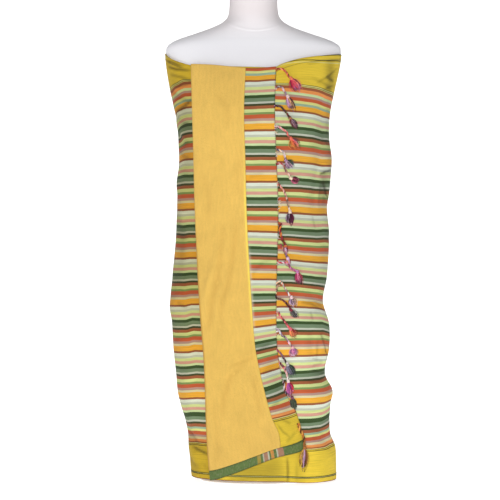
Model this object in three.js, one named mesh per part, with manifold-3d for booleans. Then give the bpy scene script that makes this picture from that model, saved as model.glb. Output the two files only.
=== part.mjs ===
// A kikoy, the lined and fringed cotton wrap of the East African coast, worn round a limbless dress form.
// Millimetres. +Z is up, the front faces -Y, and the origin is the middle of the base's underside.
import * as THREE from "three";
import { mergeVertices } from "three/addons/utils/BufferGeometryUtils.js";
import Module from "manifold-3d";

const wasm = await Module();
wasm.setup();

// Driving sizes: cloth
const wrapWall = 2.0; // kikoy with the lining that it hides
const flapWall = 1.2;
const terryWall = 2.0;
const facingWall = 1.2;
const layerGap = 0.8; // between cloth that lies on cloth
const seamGap = 0.3; // between pieces that are sewn together
const diveDepth = 4.4; // how far the left front sinks to pass under the fold
const underlapTurns = 0.2; // how far the inner end runs on under the right front, in turns
const underlapTuck = 0.035; // the share of a turn that the left front runs on past the fold
const wrapRows = 34; // rows of cells from hem to top, an even number
const nominalGirth = 930;
const facingHeight = 24;

// Driving sizes: dress form
const poleRadius = 14;
const baseHalfWidth = 122;
const baseHalfDepth = 88;
const baseThickness = 4;
const baseCollarRadius = 26;
const baseCollarTop = 34;

// The wrap's outer face: a row for each height, with how far it reaches from the middle each way.
// square is the exponent of the rounded section: 2 is an ellipse, more is squarer.
const wrapSections = [
  { z: -5, left: 141, right: 190, front: 112, back: 114, square: 2.2 },
  { z: 40, left: 145, right: 190, front: 112, back: 113, square: 2.2 },
  { z: 78, left: 149, right: 188, front: 111, back: 112, square: 2.2 },
  { z: 109, left: 151, right: 176, front: 110, back: 111, square: 2.2 },
  { z: 165, left: 165, right: 176, front: 110, back: 110, square: 2.2 },
  { z: 203, left: 174, right: 178, front: 110, back: 110, square: 2.2 },
  { z: 247, left: 178, right: 164, front: 110, back: 109, square: 2.2 },
  { z: 303, left: 184, right: 174, front: 110, back: 109, square: 2.2 },
  { z: 358, left: 187, right: 174, front: 111, back: 109, square: 2.2 },
  { z: 413, left: 191, right: 160, front: 112, back: 109, square: 2.2 },
  { z: 468, left: 186, right: 169, front: 112, back: 107, square: 2.2 },
  { z: 565, left: 178, right: 174, front: 112, back: 99, square: 2.25 },
  { z: 628, left: 176, right: 169, front: 114, back: 94, square: 2.3 },
  { z: 730, left: 171, right: 180, front: 120, back: 93, square: 2.3 },
  { z: 786, left: 174, right: 174, front: 124, back: 94, square: 2.3 },
  { z: 841, left: 180, right: 176, front: 122, back: 94, square: 2.35 },
  { z: 896, left: 192, right: 187, front: 109, back: 91, square: 2.4 },
  { z: 951, left: 201, right: 199, front: 90, back: 85, square: 2.5 },
  { z: 988, left: 204, right: 204, front: 78, back: 80, square: 2.5 },
];

// The form's body inside the wrap and its shoulders and neck, the same way.
const formSections = [
  { z: 376, left: 128, right: 128, front: 76, back: 74, square: 2.2 },
  { z: 384, left: 143, right: 143, front: 88, back: 85, square: 2.2 },
  { z: 408, left: 149, right: 149, front: 94, back: 91, square: 2.2 },
  { z: 478, left: 153, right: 153, front: 95, back: 94, square: 2.2 },
  { z: 558, left: 143, right: 143, front: 88, back: 84, square: 2.2 },
  { z: 648, left: 122, right: 122, front: 80, back: 72, square: 2.2 },
  { z: 730, left: 138, right: 138, front: 96, back: 78, square: 2.2 },
  { z: 841, left: 166, right: 166, front: 110, back: 86, square: 2.3 },
  { z: 896, left: 181, right: 179, front: 97, back: 86, square: 2.35 },
  { z: 951, left: 196, right: 196, front: 80, back: 81, square: 2.4 },
  { z: 988, left: 201, right: 201, front: 66, back: 74, square: 2.4 },
  { z: 1000, left: 194, right: 194, front: 62, back: 68, square: 2.4 },
  { z: 1011, left: 174, right: 172, front: 58, back: 65, square: 2.3 },
  { z: 1026, left: 130, right: 128, front: 54, back: 62, square: 2.2 },
  { z: 1040, left: 92, right: 90, front: 52, back: 60, square: 2.1 },
  { z: 1054, left: 67, right: 67, front: 51, back: 59, square: 2.0 },
  { z: 1072, left: 57, right: 57, front: 50, back: 58, square: 2.0 },
  { z: 1128, left: 55, right: 55, front: 50, back: 58, square: 2.0 },
];

// The fold where the cloth turns back on itself: how far left of the middle it lies.
const foldLine = [
  { z: 0, left: 95 },
  { z: 103, left: 103 },
  { z: 271, left: 109 },
  { z: 409, left: 119.5 },
  { z: 606, left: 129 },
  { z: 797, left: 134 },
  { z: 948, left: 139 },
];

// The flap: how far right of the middle the lining and the fringed end reach.
const flapEdges = [
  { z: 8, lining: 59, end: 116 },
  { z: 95, lining: 59, end: 113 },
  { z: 121, lining: 55, end: 108 },
  { z: 150, lining: 42, end: 100 },
  { z: 172, lining: 35, end: 92 },
  { z: 210, lining: 25, end: 71 },
  { z: 261, lining: 13, end: 60 },
  { z: 317, lining: 3, end: 52 },
  { z: 439, lining: -6, end: 51 },
  { z: 606, lining: -15, end: 55 },
  { z: 728, lining: -18, end: 51 },
  { z: 839, lining: -21, end: 47 },
  { z: 948, lining: -17, end: 51 },
];

// Heights of the wrap's top edge and hem along the cloth, in turns from the front middle.
const wrapEdges = [
  { turn: -0.2, top: 932, hem: 12 },
  { turn: 0.04, top: 932, hem: 11 },
  { turn: 0.065, top: 945, hem: 9 },
  { turn: 0.11, top: 959, hem: 6 },
  { turn: 0.16, top: 967, hem: 5 },
  { turn: 0.25, top: 976, hem: 4 },
  { turn: 0.5, top: 972, hem: 8 },
  { turn: 0.74, top: 981, hem: 16 },
  { turn: 0.82, top: 954, hem: 21 },
  { turn: 0.86, top: 944, hem: 20 },
  { turn: 1.2, top: 934, hem: 18 },
];

// Heights of the flap's top fold and bottom edge, by the distance right of the middle.
const flapHeights = [
  { x: -140, top: 947, bottom: 9 },
  { x: -95, top: 944, bottom: 11 },
  { x: -50, top: 939, bottom: 26 },
  { x: 0, top: 935, bottom: 46 },
  { x: 50, top: 939, bottom: 65 },
  { x: 96, top: 943, bottom: 75 },
  { x: 120, top: 945, bottom: 84 },
];

// The largest folds of the wrap. around is the distance along the cloth from the front middle, lean is
// the slope in degrees from upright, out is how far the fold stands out, and below zero it sinks in.
const wrapFolds = [
  { around: 150, z: 678, lean: 4, length: 90, width: 13, out: -5 },
  { around: 172, z: 723, lean: -50, length: 45, width: 13, out: -4 },
  { around: 148, z: 318, lean: 6, length: 60, width: 14, out: -4 },
  { around: 185, z: 413, lean: -72, length: 60, width: 13, out: -6 },
  { around: 165, z: 250, lean: 75, length: 70, width: 14, out: -6 },
  { around: 205, z: 203, lean: 70, length: 80, width: 18, out: 5 },
  { around: 90, z: 48, lean: 3, length: 60, width: 13, out: -4 },
  { around: 165, z: 98, lean: -60, length: 60, width: 16, out: -5 },
  { around: -190, z: 838, lean: -55, length: 60, width: 15, out: 4 },
  { around: -205, z: 778, lean: -60, length: 60, width: 15, out: -5 },
  { around: -215, z: 678, lean: -50, length: 70, width: 16, out: 4 },
  { around: -190, z: 408, lean: 60, length: 70, width: 16, out: 4 },
  { around: -185, z: 108, lean: -40, length: 80, width: 16, out: -5 },
  { around: -170, z: 58, lean: -45, length: 60, width: 14, out: 4 },
  { around: 330, z: 688, lean: 20, length: 150, width: 22, out: 5 },
  { around: 385, z: 508, lean: 12, length: 180, width: 22, out: -5 },
  { around: 455, z: 628, lean: -6, length: 220, width: 24, out: 5 },
  { around: 455, z: 228, lean: 4, length: 200, width: 26, out: 6 },
  { around: 350, z: 168, lean: -10, length: 170, width: 24, out: 6 },
  { around: -380, z: 548, lean: -14, length: 180, width: 22, out: -5 },
  { around: -330, z: 708, lean: -22, length: 140, width: 22, out: 5 },
  { around: -340, z: 198, lean: 8, length: 180, width: 24, out: 6 },
];

// The soft folds of the flap, which all stand out, by the distance right of the middle.
const flapFolds = [
  { around: -74, z: 508, lean: 14, length: 130, width: 13, out: 3 },
  { around: -92, z: 453, lean: 13, length: 120, width: 12, out: 3 },
  { around: -20, z: 278, lean: 52, length: 60, width: 13, out: 2.5 },
  { around: -60, z: 788, lean: 8, length: 120, width: 15, out: 2 },
  { around: 30, z: 188, lean: 30, length: 90, width: 14, out: 2.5 },
];

// The tassels on the fringed end: the height of each root, and where its knot and its tip lie. over is
// how much further off the wrap one lies that crosses the facing's corner.
const tasselRows = [
  { root: 930, knotX: 81, knotZ: 913, tipX: 106, tipZ: 885 },
  { root: 891, knotX: 75, knotZ: 868, tipX: 90, tipZ: 842 },
  { root: 848, knotX: 77, knotZ: 823, tipX: 97, tipZ: 797 },
  { root: 805, knotX: 79, knotZ: 777, tipX: 103, tipZ: 752 },
  { root: 757, knotX: 70, knotZ: 728, tipX: 90, tipZ: 712 },
  { root: 719, knotX: 81, knotZ: 688, tipX: 90, tipZ: 661 },
  { root: 676, knotX: 79, knotZ: 617, tipX: 83, tipZ: 590 },
  { root: 628, knotX: 62, knotZ: 582, tipX: 70, tipZ: 550 },
  { root: 537, knotX: 76, knotZ: 514, tipX: 85, tipZ: 496 },
  { root: 501, knotX: 99, knotZ: 479, tipX: 104, tipZ: 452 },
  { root: 455, knotX: 83, knotZ: 424, tipX: 92, tipZ: 406 },
  { root: 419, knotX: 84, knotZ: 397, tipX: 98, tipZ: 379 },
  { root: 388, knotX: 77, knotZ: 355, tipX: 95, tipZ: 335 },
  { root: 348, knotX: 81, knotZ: 317, tipX: 95, tipZ: 293 },
  { root: 308, knotX: 73, knotZ: 272, tipX: 92, tipZ: 250 },
  { root: 277, knotX: 83, knotZ: 241, tipX: 98, tipZ: 222 },
  { root: 235, knotX: 85, knotZ: 204, tipX: 99, tipZ: 179 },
  { root: 144, knotX: 114, knotZ: 87, tipX: 116, tipZ: 50, over: 3.4 },
];
const cordRadius = 2.4;
const knotRadius = 4.6;
const lockCount = 5;
const lockRootRadius = 1.5;
const lockTipRadius = 2.4;
const tuftHalfAngle = 0.26;
const tasselLift = 0.3; // clear of the cloth below

const clothColour = 0xd8b85a;
const materials = {
  stripedCotton: new THREE.MeshStandardMaterial({ color: clothColour, roughness: 0.85, metalness: 0 }),
  terryCotton: new THREE.MeshStandardMaterial({ color: 0xebc364, roughness: 0.95, metalness: 0 }),
  greenFacing: new THREE.MeshStandardMaterial({ color: 0x738c4b, roughness: 0.85, metalness: 0 }),
  fringeYarn: new THREE.MeshStandardMaterial({ color: 0xc0605a, roughness: 0.9, metalness: 0 }),
  formJersey: new THREE.MeshStandardMaterial({ color: 0xebe8e9, roughness: 0.8, metalness: 0 }),
  formStand: new THREE.MeshStandardMaterial({ color: 0xdcdcdc, roughness: 0.45, metalness: 0.2 }),
};

// A smooth curve through the rows of a table: the columns' values at one value of the key column.
function rowAt(table, key, value) {
  let i = table.findIndex((row) => row[key] > value) - 1;
  if (i === -2) i = table.length - 2;
  if (i < 0) i = 0;
  const before = table[Math.max(i - 1, 0)];
  const low = table[i];
  const high = table[i + 1];
  const after = table[Math.min(i + 2, table.length - 1)];
  const span = high[key] - low[key];
  const t = THREE.MathUtils.clamp((value - low[key]) / span, 0, 1);
  const result = {};
  for (const column of Object.keys(low)) {
    const slopeLow = ((high[column] - before[column]) / (high[key] - before[key])) * span;
    const slopeHigh = ((after[column] - low[column]) / (after[key] - low[key])) * span;
    const rise = high[column] - low[column];
    const bend = (2 * low[column] - 2 * high[column] + slopeLow + slopeHigh) * t;
    result[column] = low[column] + t * (slopeLow + t * (3 * rise - 2 * slopeLow - slopeHigh + bend));
  }
  return result;
}

// One height of a rounded section, with points at any angle: 0 is the front and +90 degrees the right.
function sectionAt(table, z) {
  const row = rowAt(table, "z", z);
  const middle = (row.right - row.left) / 2;
  const half = (row.right + row.left) / 2;
  const power = 2 / row.square;
  return {
    middle,
    half,
    point(angle) {
      const s = Math.sin(angle);
      const c = Math.cos(angle);
      const depth = c > 0 ? row.front : row.back;
      const x = middle + half * Math.sign(s) * Math.abs(s) ** power;
      const y = -depth * Math.sign(c) * Math.abs(c) ** power;
      return new THREE.Vector3(x, y, z);
    },
    normal(angle) {
      const s = Math.sin(angle);
      const c = Math.cos(angle);
      const depth = c > 0 ? row.front : row.back;
      const nx = (Math.sign(s) * Math.abs(s) ** (2 - power)) / half;
      const ny = (-Math.sign(c) * Math.abs(c) ** (2 - power)) / depth;
      return new THREE.Vector3(nx, ny, 0).normalize();
    },
    angleAtX(x) {
      const share = THREE.MathUtils.clamp((x - middle) / half, -1, 1);
      return Math.asin(Math.sign(share) * Math.abs(share) ** (1 / power));
    },
  };
}

// The wrap's section measured with a tape: the distance round it is 0 at the front middle.
const girthSteps = 360;
const girths = new Map();
function girthAt(z) {
  const key = z.toFixed(3);
  if (girths.has(key)) return girths.get(key);
  const section = sectionAt(wrapSections, z);
  const distances = [0];
  let last = section.point(-Math.PI);
  for (let i = 1; i <= girthSteps; i++) {
    const next = section.point(-Math.PI + (2 * Math.PI * i) / girthSteps);
    distances.push(distances[i - 1] + next.distanceTo(last));
    last = next;
  }
  const length = distances[girthSteps];
  const front = distances[girthSteps / 2];
  const girth = {
    length,
    aroundAtX(x) {
      const step = ((section.angleAtX(x) + Math.PI) / (2 * Math.PI)) * girthSteps;
      const i = Math.floor(step);
      return THREE.MathUtils.lerp(distances[i], distances[i + 1], step - i) - front;
    },
    angleAt(around) {
      const tape = THREE.MathUtils.euclideanModulo(around + front, length);
      let i = distances.findIndex((d) => d > tape) - 1;
      if (i < 0) i = 0;
      const share = (tape - distances[i]) / (distances[i + 1] - distances[i]);
      return -Math.PI + (2 * Math.PI * (i + share)) / girthSteps;
    },
    point: section.point,
    normal: section.normal,
  };
  girths.set(key, girth);
  return girth;
}

// A smooth step from 0 to 1 between two values.
function ease(low, high, value) {
  const t = THREE.MathUtils.clamp((value - low) / (high - low), 0, 1);
  return t * t * (3 - 2 * t);
}

// How far a list of soft folds moves the cloth out at one place.
function foldRelief(folds, around, z, length) {
  let relief = 0;
  for (const fold of folds) {
    const lean = THREE.MathUtils.degToRad(fold.lean);
    let aside = around - fold.around;
    if (length) aside -= length * Math.round(aside / length);
    const rise = z - fold.z;
    const across = aside * Math.cos(lean) - rise * Math.sin(lean);
    const along = aside * Math.sin(lean) + rise * Math.cos(lean);
    const reach = 1 - (along / fold.length) ** 2;
    if (reach > 0) relief += fold.out * reach * reach * Math.exp(-((across / fold.width) ** 2));
  }
  return relief;
}

// A point on the wrap, or lifted off it along its normal.
function onWrap(around, z, lift) {
  const girth = girthAt(z);
  const angle = girth.angleAt(around);
  return girth.point(angle).addScaledVector(girth.normal(angle), lift);
}

function foldAround(z) {
  return girthAt(z).aroundAtX(-rowAt(foldLine, "z", z).left);
}

function endAround(z, column) {
  return girthAt(z).aroundAtX(rowAt(flapEdges, "z", z)[column]);
}

// The wrap's own folds, which fade out where the flap and the fringe cover them.
function wrapRelief(around, z) {
  const length = girthAt(z).length;
  const covered = ease(foldAround(z) - 45, foldAround(z) - 15, around);
  const open = ease(endAround(z, "end") - 5, endAround(z, "end") + 25, around);
  const atTop = ease(973, 918, z);
  return foldRelief(wrapFolds, around, z, length) * (1 - covered + open) * atTop;
}

// The soft folds in the flap, which fade out at its edges.
function flapRelief(around, z) {
  const inside = ease(foldAround(z), foldAround(z) + 22, around);
  const ends = ease(endAround(z, "end"), endAround(z, "end") - 22, around);
  const level = ease(88, 128, z) * ease(938, 903, z);
  return foldRelief(flapFolds, around, z, 0) * inside * ends * level;
}

// A closed wall between an outer and an inner grid of points, given by face(column, row, outer).
function wallGeometry(columns, rows, face) {
  const across = columns + 1;
  const positions = [];
  for (const outer of [true, false]) {
    for (let r = 0; r <= rows; r++) {
      for (let c = 0; c <= columns; c++) positions.push(...face(c, r, outer).toArray());
    }
  }
  const indices = [];
  const inner = across * (rows + 1);
  const quad = (a, b, c, d) => indices.push(a, b, c, a, c, d);
  for (let r = 0; r < rows; r++) {
    for (let c = 0; c < columns; c++) {
      const i = r * across + c;
      quad(i, i + 1, i + 1 + across, i + across);
      quad(inner + i, inner + i + across, inner + i + 1 + across, inner + i + 1);
    }
  }
  for (let c = 0; c < columns; c++) {
    const top = rows * across + c;
    quad(inner + c, inner + c + 1, c + 1, c);
    quad(top, top + 1, inner + top + 1, inner + top);
  }
  for (let r = 0; r < rows; r++) {
    const left = r * across;
    const right = left + columns;
    quad(inner + left, left, left + across, inner + left + across);
    quad(right, inner + right, inner + right + across, right + across);
  }
  const geometry = new THREE.BufferGeometry();
  geometry.setAttribute("position", new THREE.Float32BufferAttribute(positions, 3));
  geometry.setIndex(indices);
  return geometry;
}

// Column places from a list of stretches, each split evenly.
function spread(stretches) {
  const places = [stretches[0].from];
  for (const { from, to, parts } of stretches) {
    for (let i = 1; i <= parts; i++) places.push(THREE.MathUtils.lerp(from, to, i / parts));
  }
  return places;
}

// Where a share of a turn past the fold lies on a wrap whose edges follow wrapEdges.
function wrapPlace(turnsPastFold, heightShare) {
  const place = (z) => foldAround(z) / girthAt(z).length + turnsPastFold;
  const top = rowAt(wrapEdges, "turn", place(938)).top;
  const hem = rowAt(wrapEdges, "turn", place(18)).hem;
  const z = THREE.MathUtils.lerp(hem, top, heightShare);
  return { around: place(z) * girthAt(z).length, z };
}

const bendRadius = layerGap / 2 + flapWall; // outside of the fold in the kikoy

// The right front, the back, the left side and the left front, down under the fold.
function outerWrap() {
  const places = spread([
    { from: (bendRadius + seamGap) / nominalGirth, to: 0.2, parts: 9 },
    { from: 0.2, to: 0.42, parts: 14 },
    { from: 0.42, to: 0.8, parts: 12 },
    { from: 0.8, to: 0.94, parts: 8 },
    { from: 0.94, to: 1 + underlapTuck, parts: 5 },
  ]);
  return wallGeometry(places.length - 1, wrapRows, (c, r, outer) => {
    const { around, z } = wrapPlace(places[c], r / wrapRows);
    const dive = ease(0.945, 0.985, places[c]);
    const own = around - (places[c] > 0.5 ? girthAt(z).length : 0);
    const relief = wrapRelief(own, z) * (1 - dive);
    return onWrap(around, z, relief - diveDepth * dive - (outer ? 0 : wrapWall));
  });
}

// The inner end, which runs on under the right front.
function underlap() {
  const from = 1 + underlapTuck + layerGap / nominalGirth;
  const places = spread([{ from, to: 1 + underlapTurns, parts: 7 }]);
  const rows = wrapRows / 2;
  return wallGeometry(places.length - 1, rows, (c, r, outer) => {
    const { around, z } = wrapPlace(places[c], r / rows);
    return onWrap(around, z, -diveDepth - (outer ? 0 : wrapWall));
  });
}

// The flap's shared grid. Its columns bend round the fold, cross the lining and reach the fringed end.
// Its first row of cells is as high as the facing.
const foldColumns = 4;
const liningColumns = 6;
const endColumns = 4;
const flapRows = 30;

function flapPlace(column, row) {
  const spot = (z) => {
    const start = foldAround(z) + bendRadius;
    const lining = endAround(z, "lining");
    const past = column - foldColumns - liningColumns;
    if (past > 0) return THREE.MathUtils.lerp(lining, endAround(z, "end"), past / endColumns);
    return THREE.MathUtils.lerp(start, lining, Math.max(0, 1 + past / liningColumns));
  };
  const low = rowAt(flapHeights, "x", onWrap(spot(28), 28, 0).x).bottom;
  const high = rowAt(flapHeights, "x", onWrap(spot(938), 938, 0).x).top;
  const share = (row - 1) / (flapRows - 1);
  const z = row === 0 ? low : THREE.MathUtils.lerp(low + facingHeight, high, share);
  return { around: spot(z), z };
}

// One layer of the flap between two columns and two rows of its grid, at its distance from the middle
// of the bend. Its first row is raised off the layer that it meets below.
function flapLayer({ columns, firstRow, lastRow, inside, wall, raised = 0 }) {
  return wallGeometry(columns, lastRow - firstRow, (c, r, outer) => {
    const place = flapPlace(c, r + firstRow);
    const z = place.z + (r === 0 ? raised : 0);
    const radius = outer ? inside + wall : inside;
    const turn = THREE.MathUtils.degToRad(-90 + 180 * Math.min(c / foldColumns, 1));
    const around = place.around - radius * Math.cos(turn);
    const lift = layerGap / 2 + radius * Math.sin(turn) + flapRelief(around, z);
    return onWrap(around, z, lift);
  });
}

function turnedBackFlap() {
  return flapLayer({
    columns: foldColumns + liningColumns + endColumns,
    firstRow: 0,
    lastRow: flapRows,
    inside: layerGap / 2,
    wall: flapWall,
  });
}

function terryLining() {
  return flapLayer({
    columns: foldColumns + liningColumns,
    firstRow: 1,
    lastRow: flapRows,
    inside: bendRadius + seamGap,
    wall: terryWall,
    raised: seamGap,
  });
}

function hemFacing() {
  return flapLayer({
    columns: foldColumns + liningColumns + endColumns,
    firstRow: 0,
    lastRow: 1,
    inside: bendRadius + seamGap,
    wall: facingWall,
  });
}

// Joins closed meshes into one body.
function joined(geometries) {
  const solids = geometries.map((geometry) => {
    geometry.deleteAttribute("normal");
    geometry.deleteAttribute("uv");
    const merged = mergeVertices(geometry, 1e-4);
    const vertProperties = new Float32Array(merged.attributes.position.array);
    const triVerts = new Uint32Array(merged.index.array);
    return new wasm.Manifold(new wasm.Mesh({ numProp: 3, vertProperties, triVerts }));
  });
  const mesh = solids.reduce((sum, solid) => sum.add(solid)).getMesh();
  const geometry = new THREE.BufferGeometry();
  geometry.setAttribute("position", new THREE.BufferAttribute(mesh.vertProperties, 3));
  geometry.setIndex(new THREE.BufferAttribute(mesh.triVerts, 1));
  return geometry;
}

// A point on the front by its distance right of the middle, lifted off the wrap and its folds.
function onFront(x, z, lift) {
  const around = girthAt(z).aroundAtX(x);
  return onWrap(around, z, lift + Math.max(wrapRelief(around, z), 0));
}

// A square bar along a curve, for the twisted cord.
function cordGeometry(points) {
  const side = cordRadius * Math.SQRT2;
  const square = new THREE.Shape();
  square.moveTo(-side / 2, -side / 2);
  square.lineTo(side / 2, -side / 2);
  square.lineTo(side / 2, side / 2);
  square.lineTo(-side / 2, side / 2);
  const extrudePath = new THREE.CatmullRomCurve3(points);
  return new THREE.ExtrudeGeometry(square, { extrudePath, steps: 4, bevelEnabled: false });
}

// A three-sided lock of yarn from the knot to its tip.
function lockGeometry(from, to) {
  const along = to.clone().sub(from);
  const lock = new THREE.CylinderGeometry(lockTipRadius, lockRootRadius, along.length(), 3);
  lock.applyQuaternion(
    new THREE.Quaternion().setFromUnitVectors(new THREE.Vector3(0, 1, 0), along.clone().normalize()),
  );
  const middle = from.clone().add(to).multiplyScalar(0.5);
  return lock.translate(middle.x, middle.y, middle.z);
}

// One tassel: a cord from the cloth's end to a knot, and locks that fan out below the knot.
function tassel({ root, knotX, knotZ, tipX, tipZ, over = 0 }) {
  const end = rowAt(flapEdges, "z", root).end;
  const rest = tasselLift + cordRadius + over;
  const knotRest = tasselLift + knotRadius + over;
  const bendX = THREE.MathUtils.lerp(end, knotX, 0.55);
  const bendZ = THREE.MathUtils.lerp(root, knotZ, 0.35);
  const cord = cordGeometry([
    onFront(end + cordRadius + seamGap + 0.6, root, rest),
    onFront(Math.max(bendX, end + 5), bendZ, rest),
    onFront(knotX, knotZ, knotRest),
  ]);
  const heart = onFront(knotX, knotZ, knotRest);
  const knot = new THREE.IcosahedronGeometry(knotRadius, 0).translate(heart.x, heart.y, heart.z);
  const locks = [];
  for (let i = 0; i < lockCount; i++) {
    const swing = tuftHalfAngle * ((2 * i) / (lockCount - 1) - 1);
    const dx = tipX - knotX;
    const dz = tipZ - knotZ;
    const reach = i % 2 ? 1 : 0.9;
    const x = knotX + reach * (dx * Math.cos(swing) - dz * Math.sin(swing));
    const z = knotZ + reach * (dx * Math.sin(swing) + dz * Math.cos(swing));
    const lift = tasselLift + over + lockTipRadius * (i % 2 ? 1.1 : 2.1);
    locks.push(lockGeometry(heart, onFront(x, z, lift)));
  }
  return joined([cord, knot, ...locks]);
}

// A closed body through rounded sections at the given heights, capped at both ends.
function bodyGeometry(table, heights, around) {
  const positions = [];
  for (const z of heights) {
    const section = sectionAt(table, z);
    for (let i = 0; i < around; i++) {
      positions.push(...section.point((2 * Math.PI * i) / around).toArray());
    }
  }
  const indices = [];
  for (let r = 0; r < heights.length - 1; r++) {
    for (let i = 0; i < around; i++) {
      const a = r * around + i;
      const b = r * around + ((i + 1) % around);
      indices.push(a, b, b + around, a, b + around, a + around);
    }
  }
  const last = (heights.length - 1) * around;
  for (let i = 1; i < around - 1; i++) {
    indices.push(0, i + 1, i);
    indices.push(last, last + i, last + i + 1);
  }
  const geometry = new THREE.BufferGeometry();
  geometry.setAttribute("position", new THREE.Float32BufferAttribute(positions, 3));
  geometry.setIndex(indices);
  return geometry;
}

function formTorso() {
  const heights = formSections.flatMap((row, i) => {
    const next = formSections[i + 1];
    if (!next) return [row.z];
    const parts = Math.max(1, Math.round((next.z - row.z) / 45));
    return Array.from({ length: parts }, (_, k) => THREE.MathUtils.lerp(row.z, next.z, k / parts));
  });
  return bodyGeometry(formSections, heights, 28);
}

function formPole() {
  const bottom = baseCollarTop + seamGap;
  const top = formSections[0].z - seamGap;
  const pole = new THREE.CylinderGeometry(poleRadius, poleRadius, top - bottom, 20);
  return pole.rotateX(Math.PI / 2).translate(0, 0, (top + bottom) / 2);
}

// The weighted base: an oval plate with a rounded rim, and the collar that takes the pole.
function formBase() {
  const rim = baseThickness / 2;
  const profile = [
    new THREE.Vector2(0, 0),
    new THREE.Vector2(baseHalfWidth - rim, 0),
    new THREE.Vector2(baseHalfWidth, rim),
    new THREE.Vector2(baseHalfWidth - rim, baseThickness),
    new THREE.Vector2(baseCollarRadius + rim, baseThickness),
    new THREE.Vector2(baseCollarRadius, baseThickness + rim),
    new THREE.Vector2(baseCollarRadius - rim, baseCollarTop),
    new THREE.Vector2(0, baseCollarTop),
  ];
  const base = new THREE.LatheGeometry(profile, 32).rotateX(Math.PI / 2);
  return base.scale(1, baseHalfDepth / baseHalfWidth, 1);
}

const kikoyOnForm = new THREE.Group();

function addPiece(name, geometry, material) {
  const mesh = new THREE.Mesh(geometry, material);
  mesh.name = name;
  kikoyOnForm.add(mesh);
}

addPiece("form_base", formBase(), materials.formStand);
addPiece("form_pole", formPole(), materials.formStand);
addPiece("form_torso", formTorso(), materials.formJersey);
addPiece("kikoy_underlap", underlap(), materials.stripedCotton);
addPiece("kikoy_outer_wrap", outerWrap(), materials.stripedCotton);
addPiece("kikoy_turned_back_flap", turnedBackFlap(), materials.stripedCotton);
addPiece("terry_lining", terryLining(), materials.terryCotton);
addPiece("hem_facing", hemFacing(), materials.greenFacing);
tasselRows.forEach((row, i) => {
  addPiece(`tassel_${String(i + 1).padStart(2, "0")}`, tassel(row), materials.fringeYarn);
});

export default kikoyOnForm;
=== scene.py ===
# %% [markdown]
# # A kikoy wrap on a dress form
#
# A kikoy is a striped, fringed cotton cloth of the East African coast. Here it is lined with terry, wound
# once round a white dress form without limbs, and its end is turned back over the front, so that the
# lining shows. The solids of the frame have the cloth's true shape. Each step below makes one piece again,
# as thin cloth, on the place that its solid holds, and gives it its weave, its stitches and its colour.

# %% Load the frame
import math
import bpy
import numpy as np
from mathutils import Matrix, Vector


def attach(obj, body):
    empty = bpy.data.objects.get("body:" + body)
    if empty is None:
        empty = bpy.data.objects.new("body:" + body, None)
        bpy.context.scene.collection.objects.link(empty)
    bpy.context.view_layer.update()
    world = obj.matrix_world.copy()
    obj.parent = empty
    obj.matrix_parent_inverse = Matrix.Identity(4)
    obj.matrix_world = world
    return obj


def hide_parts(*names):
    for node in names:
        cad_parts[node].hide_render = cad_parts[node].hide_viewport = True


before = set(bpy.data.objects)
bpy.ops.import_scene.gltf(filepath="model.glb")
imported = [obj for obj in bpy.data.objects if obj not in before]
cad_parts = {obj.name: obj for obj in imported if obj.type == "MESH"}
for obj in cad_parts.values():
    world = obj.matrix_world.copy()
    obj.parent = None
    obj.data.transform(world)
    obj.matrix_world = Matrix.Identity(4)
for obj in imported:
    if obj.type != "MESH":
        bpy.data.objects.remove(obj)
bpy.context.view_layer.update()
print("nodes in the frame:", len(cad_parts))

# %% [markdown]
# ## The camera
#
# The photograph looks level at the middle of the form from a long way off, so lines stay nearly parallel.
# A camera without perspective would come close, but a long lens from 3.6 m also keeps the little perspective
# that a real lens has. Its field is 1.15 m wide where the form stands.

# %% Camera
CAMERA_DISTANCE = 3.6
FIELD_WIDTH = 1.15
camera_data = bpy.data.cameras.new("camera")
camera_data.sensor_width = 36
camera_data.lens = camera_data.sensor_width * CAMERA_DISTANCE / FIELD_WIDTH
camera = bpy.data.objects.new("camera", camera_data)
camera.location = (-0.008, -CAMERA_DISTANCE, 0.528)
camera.rotation_euler = (math.radians(90), 0, 0)
bpy.context.scene.collection.objects.link(camera)
bpy.context.scene.camera = camera
bpy.context.scene.view_settings.view_transform = "Standard"
print("lens", round(camera_data.lens, 1), "mm")

# %% [markdown]
# ## The shape of the wrap, as a table
#
# A cloth wound round a form takes the form's outline, so its shape is a list of rounded sections, as a
# dressmaker's block has. Each row is a height and how far the cloth reaches to the left, right, front and
# back. A smooth curve through the rows gives every height between. These are the frame's own numbers, in
# millimetres, so the thin cloth lies where the solids lie.

# %% Tables of the wrap
MM = 0.001
# height, left, right, front, back, squareness
WRAP_SECTIONS = [
    (-5, 141, 190, 112, 114, 2.2), (40, 145, 190, 112, 113, 2.2), (78, 149, 188, 111, 112, 2.2),
    (109, 151, 176, 110, 111, 2.2), (165, 165, 176, 110, 110, 2.2), (203, 174, 178, 110, 110, 2.2),
    (247, 178, 164, 110, 109, 2.2), (303, 184, 174, 110, 109, 2.2), (358, 187, 174, 111, 109, 2.2),
    (413, 191, 160, 112, 109, 2.2), (468, 186, 169, 112, 107, 2.2), (565, 178, 174, 112, 99, 2.25),
    (628, 176, 169, 114, 94, 2.3), (730, 171, 180, 120, 93, 2.3), (786, 174, 174, 124, 94, 2.3),
    (841, 180, 176, 122, 94, 2.35), (896, 192, 187, 109, 91, 2.4), (951, 201, 199, 90, 85, 2.5),
    (988, 204, 204, 78, 80, 2.5)]
# height, how far left of the middle the cloth folds back on itself
FOLD_LINE = [(0, 95), (103, 103), (271, 109), (409, 119.5), (606, 129), (797, 134), (948, 139)]
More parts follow.
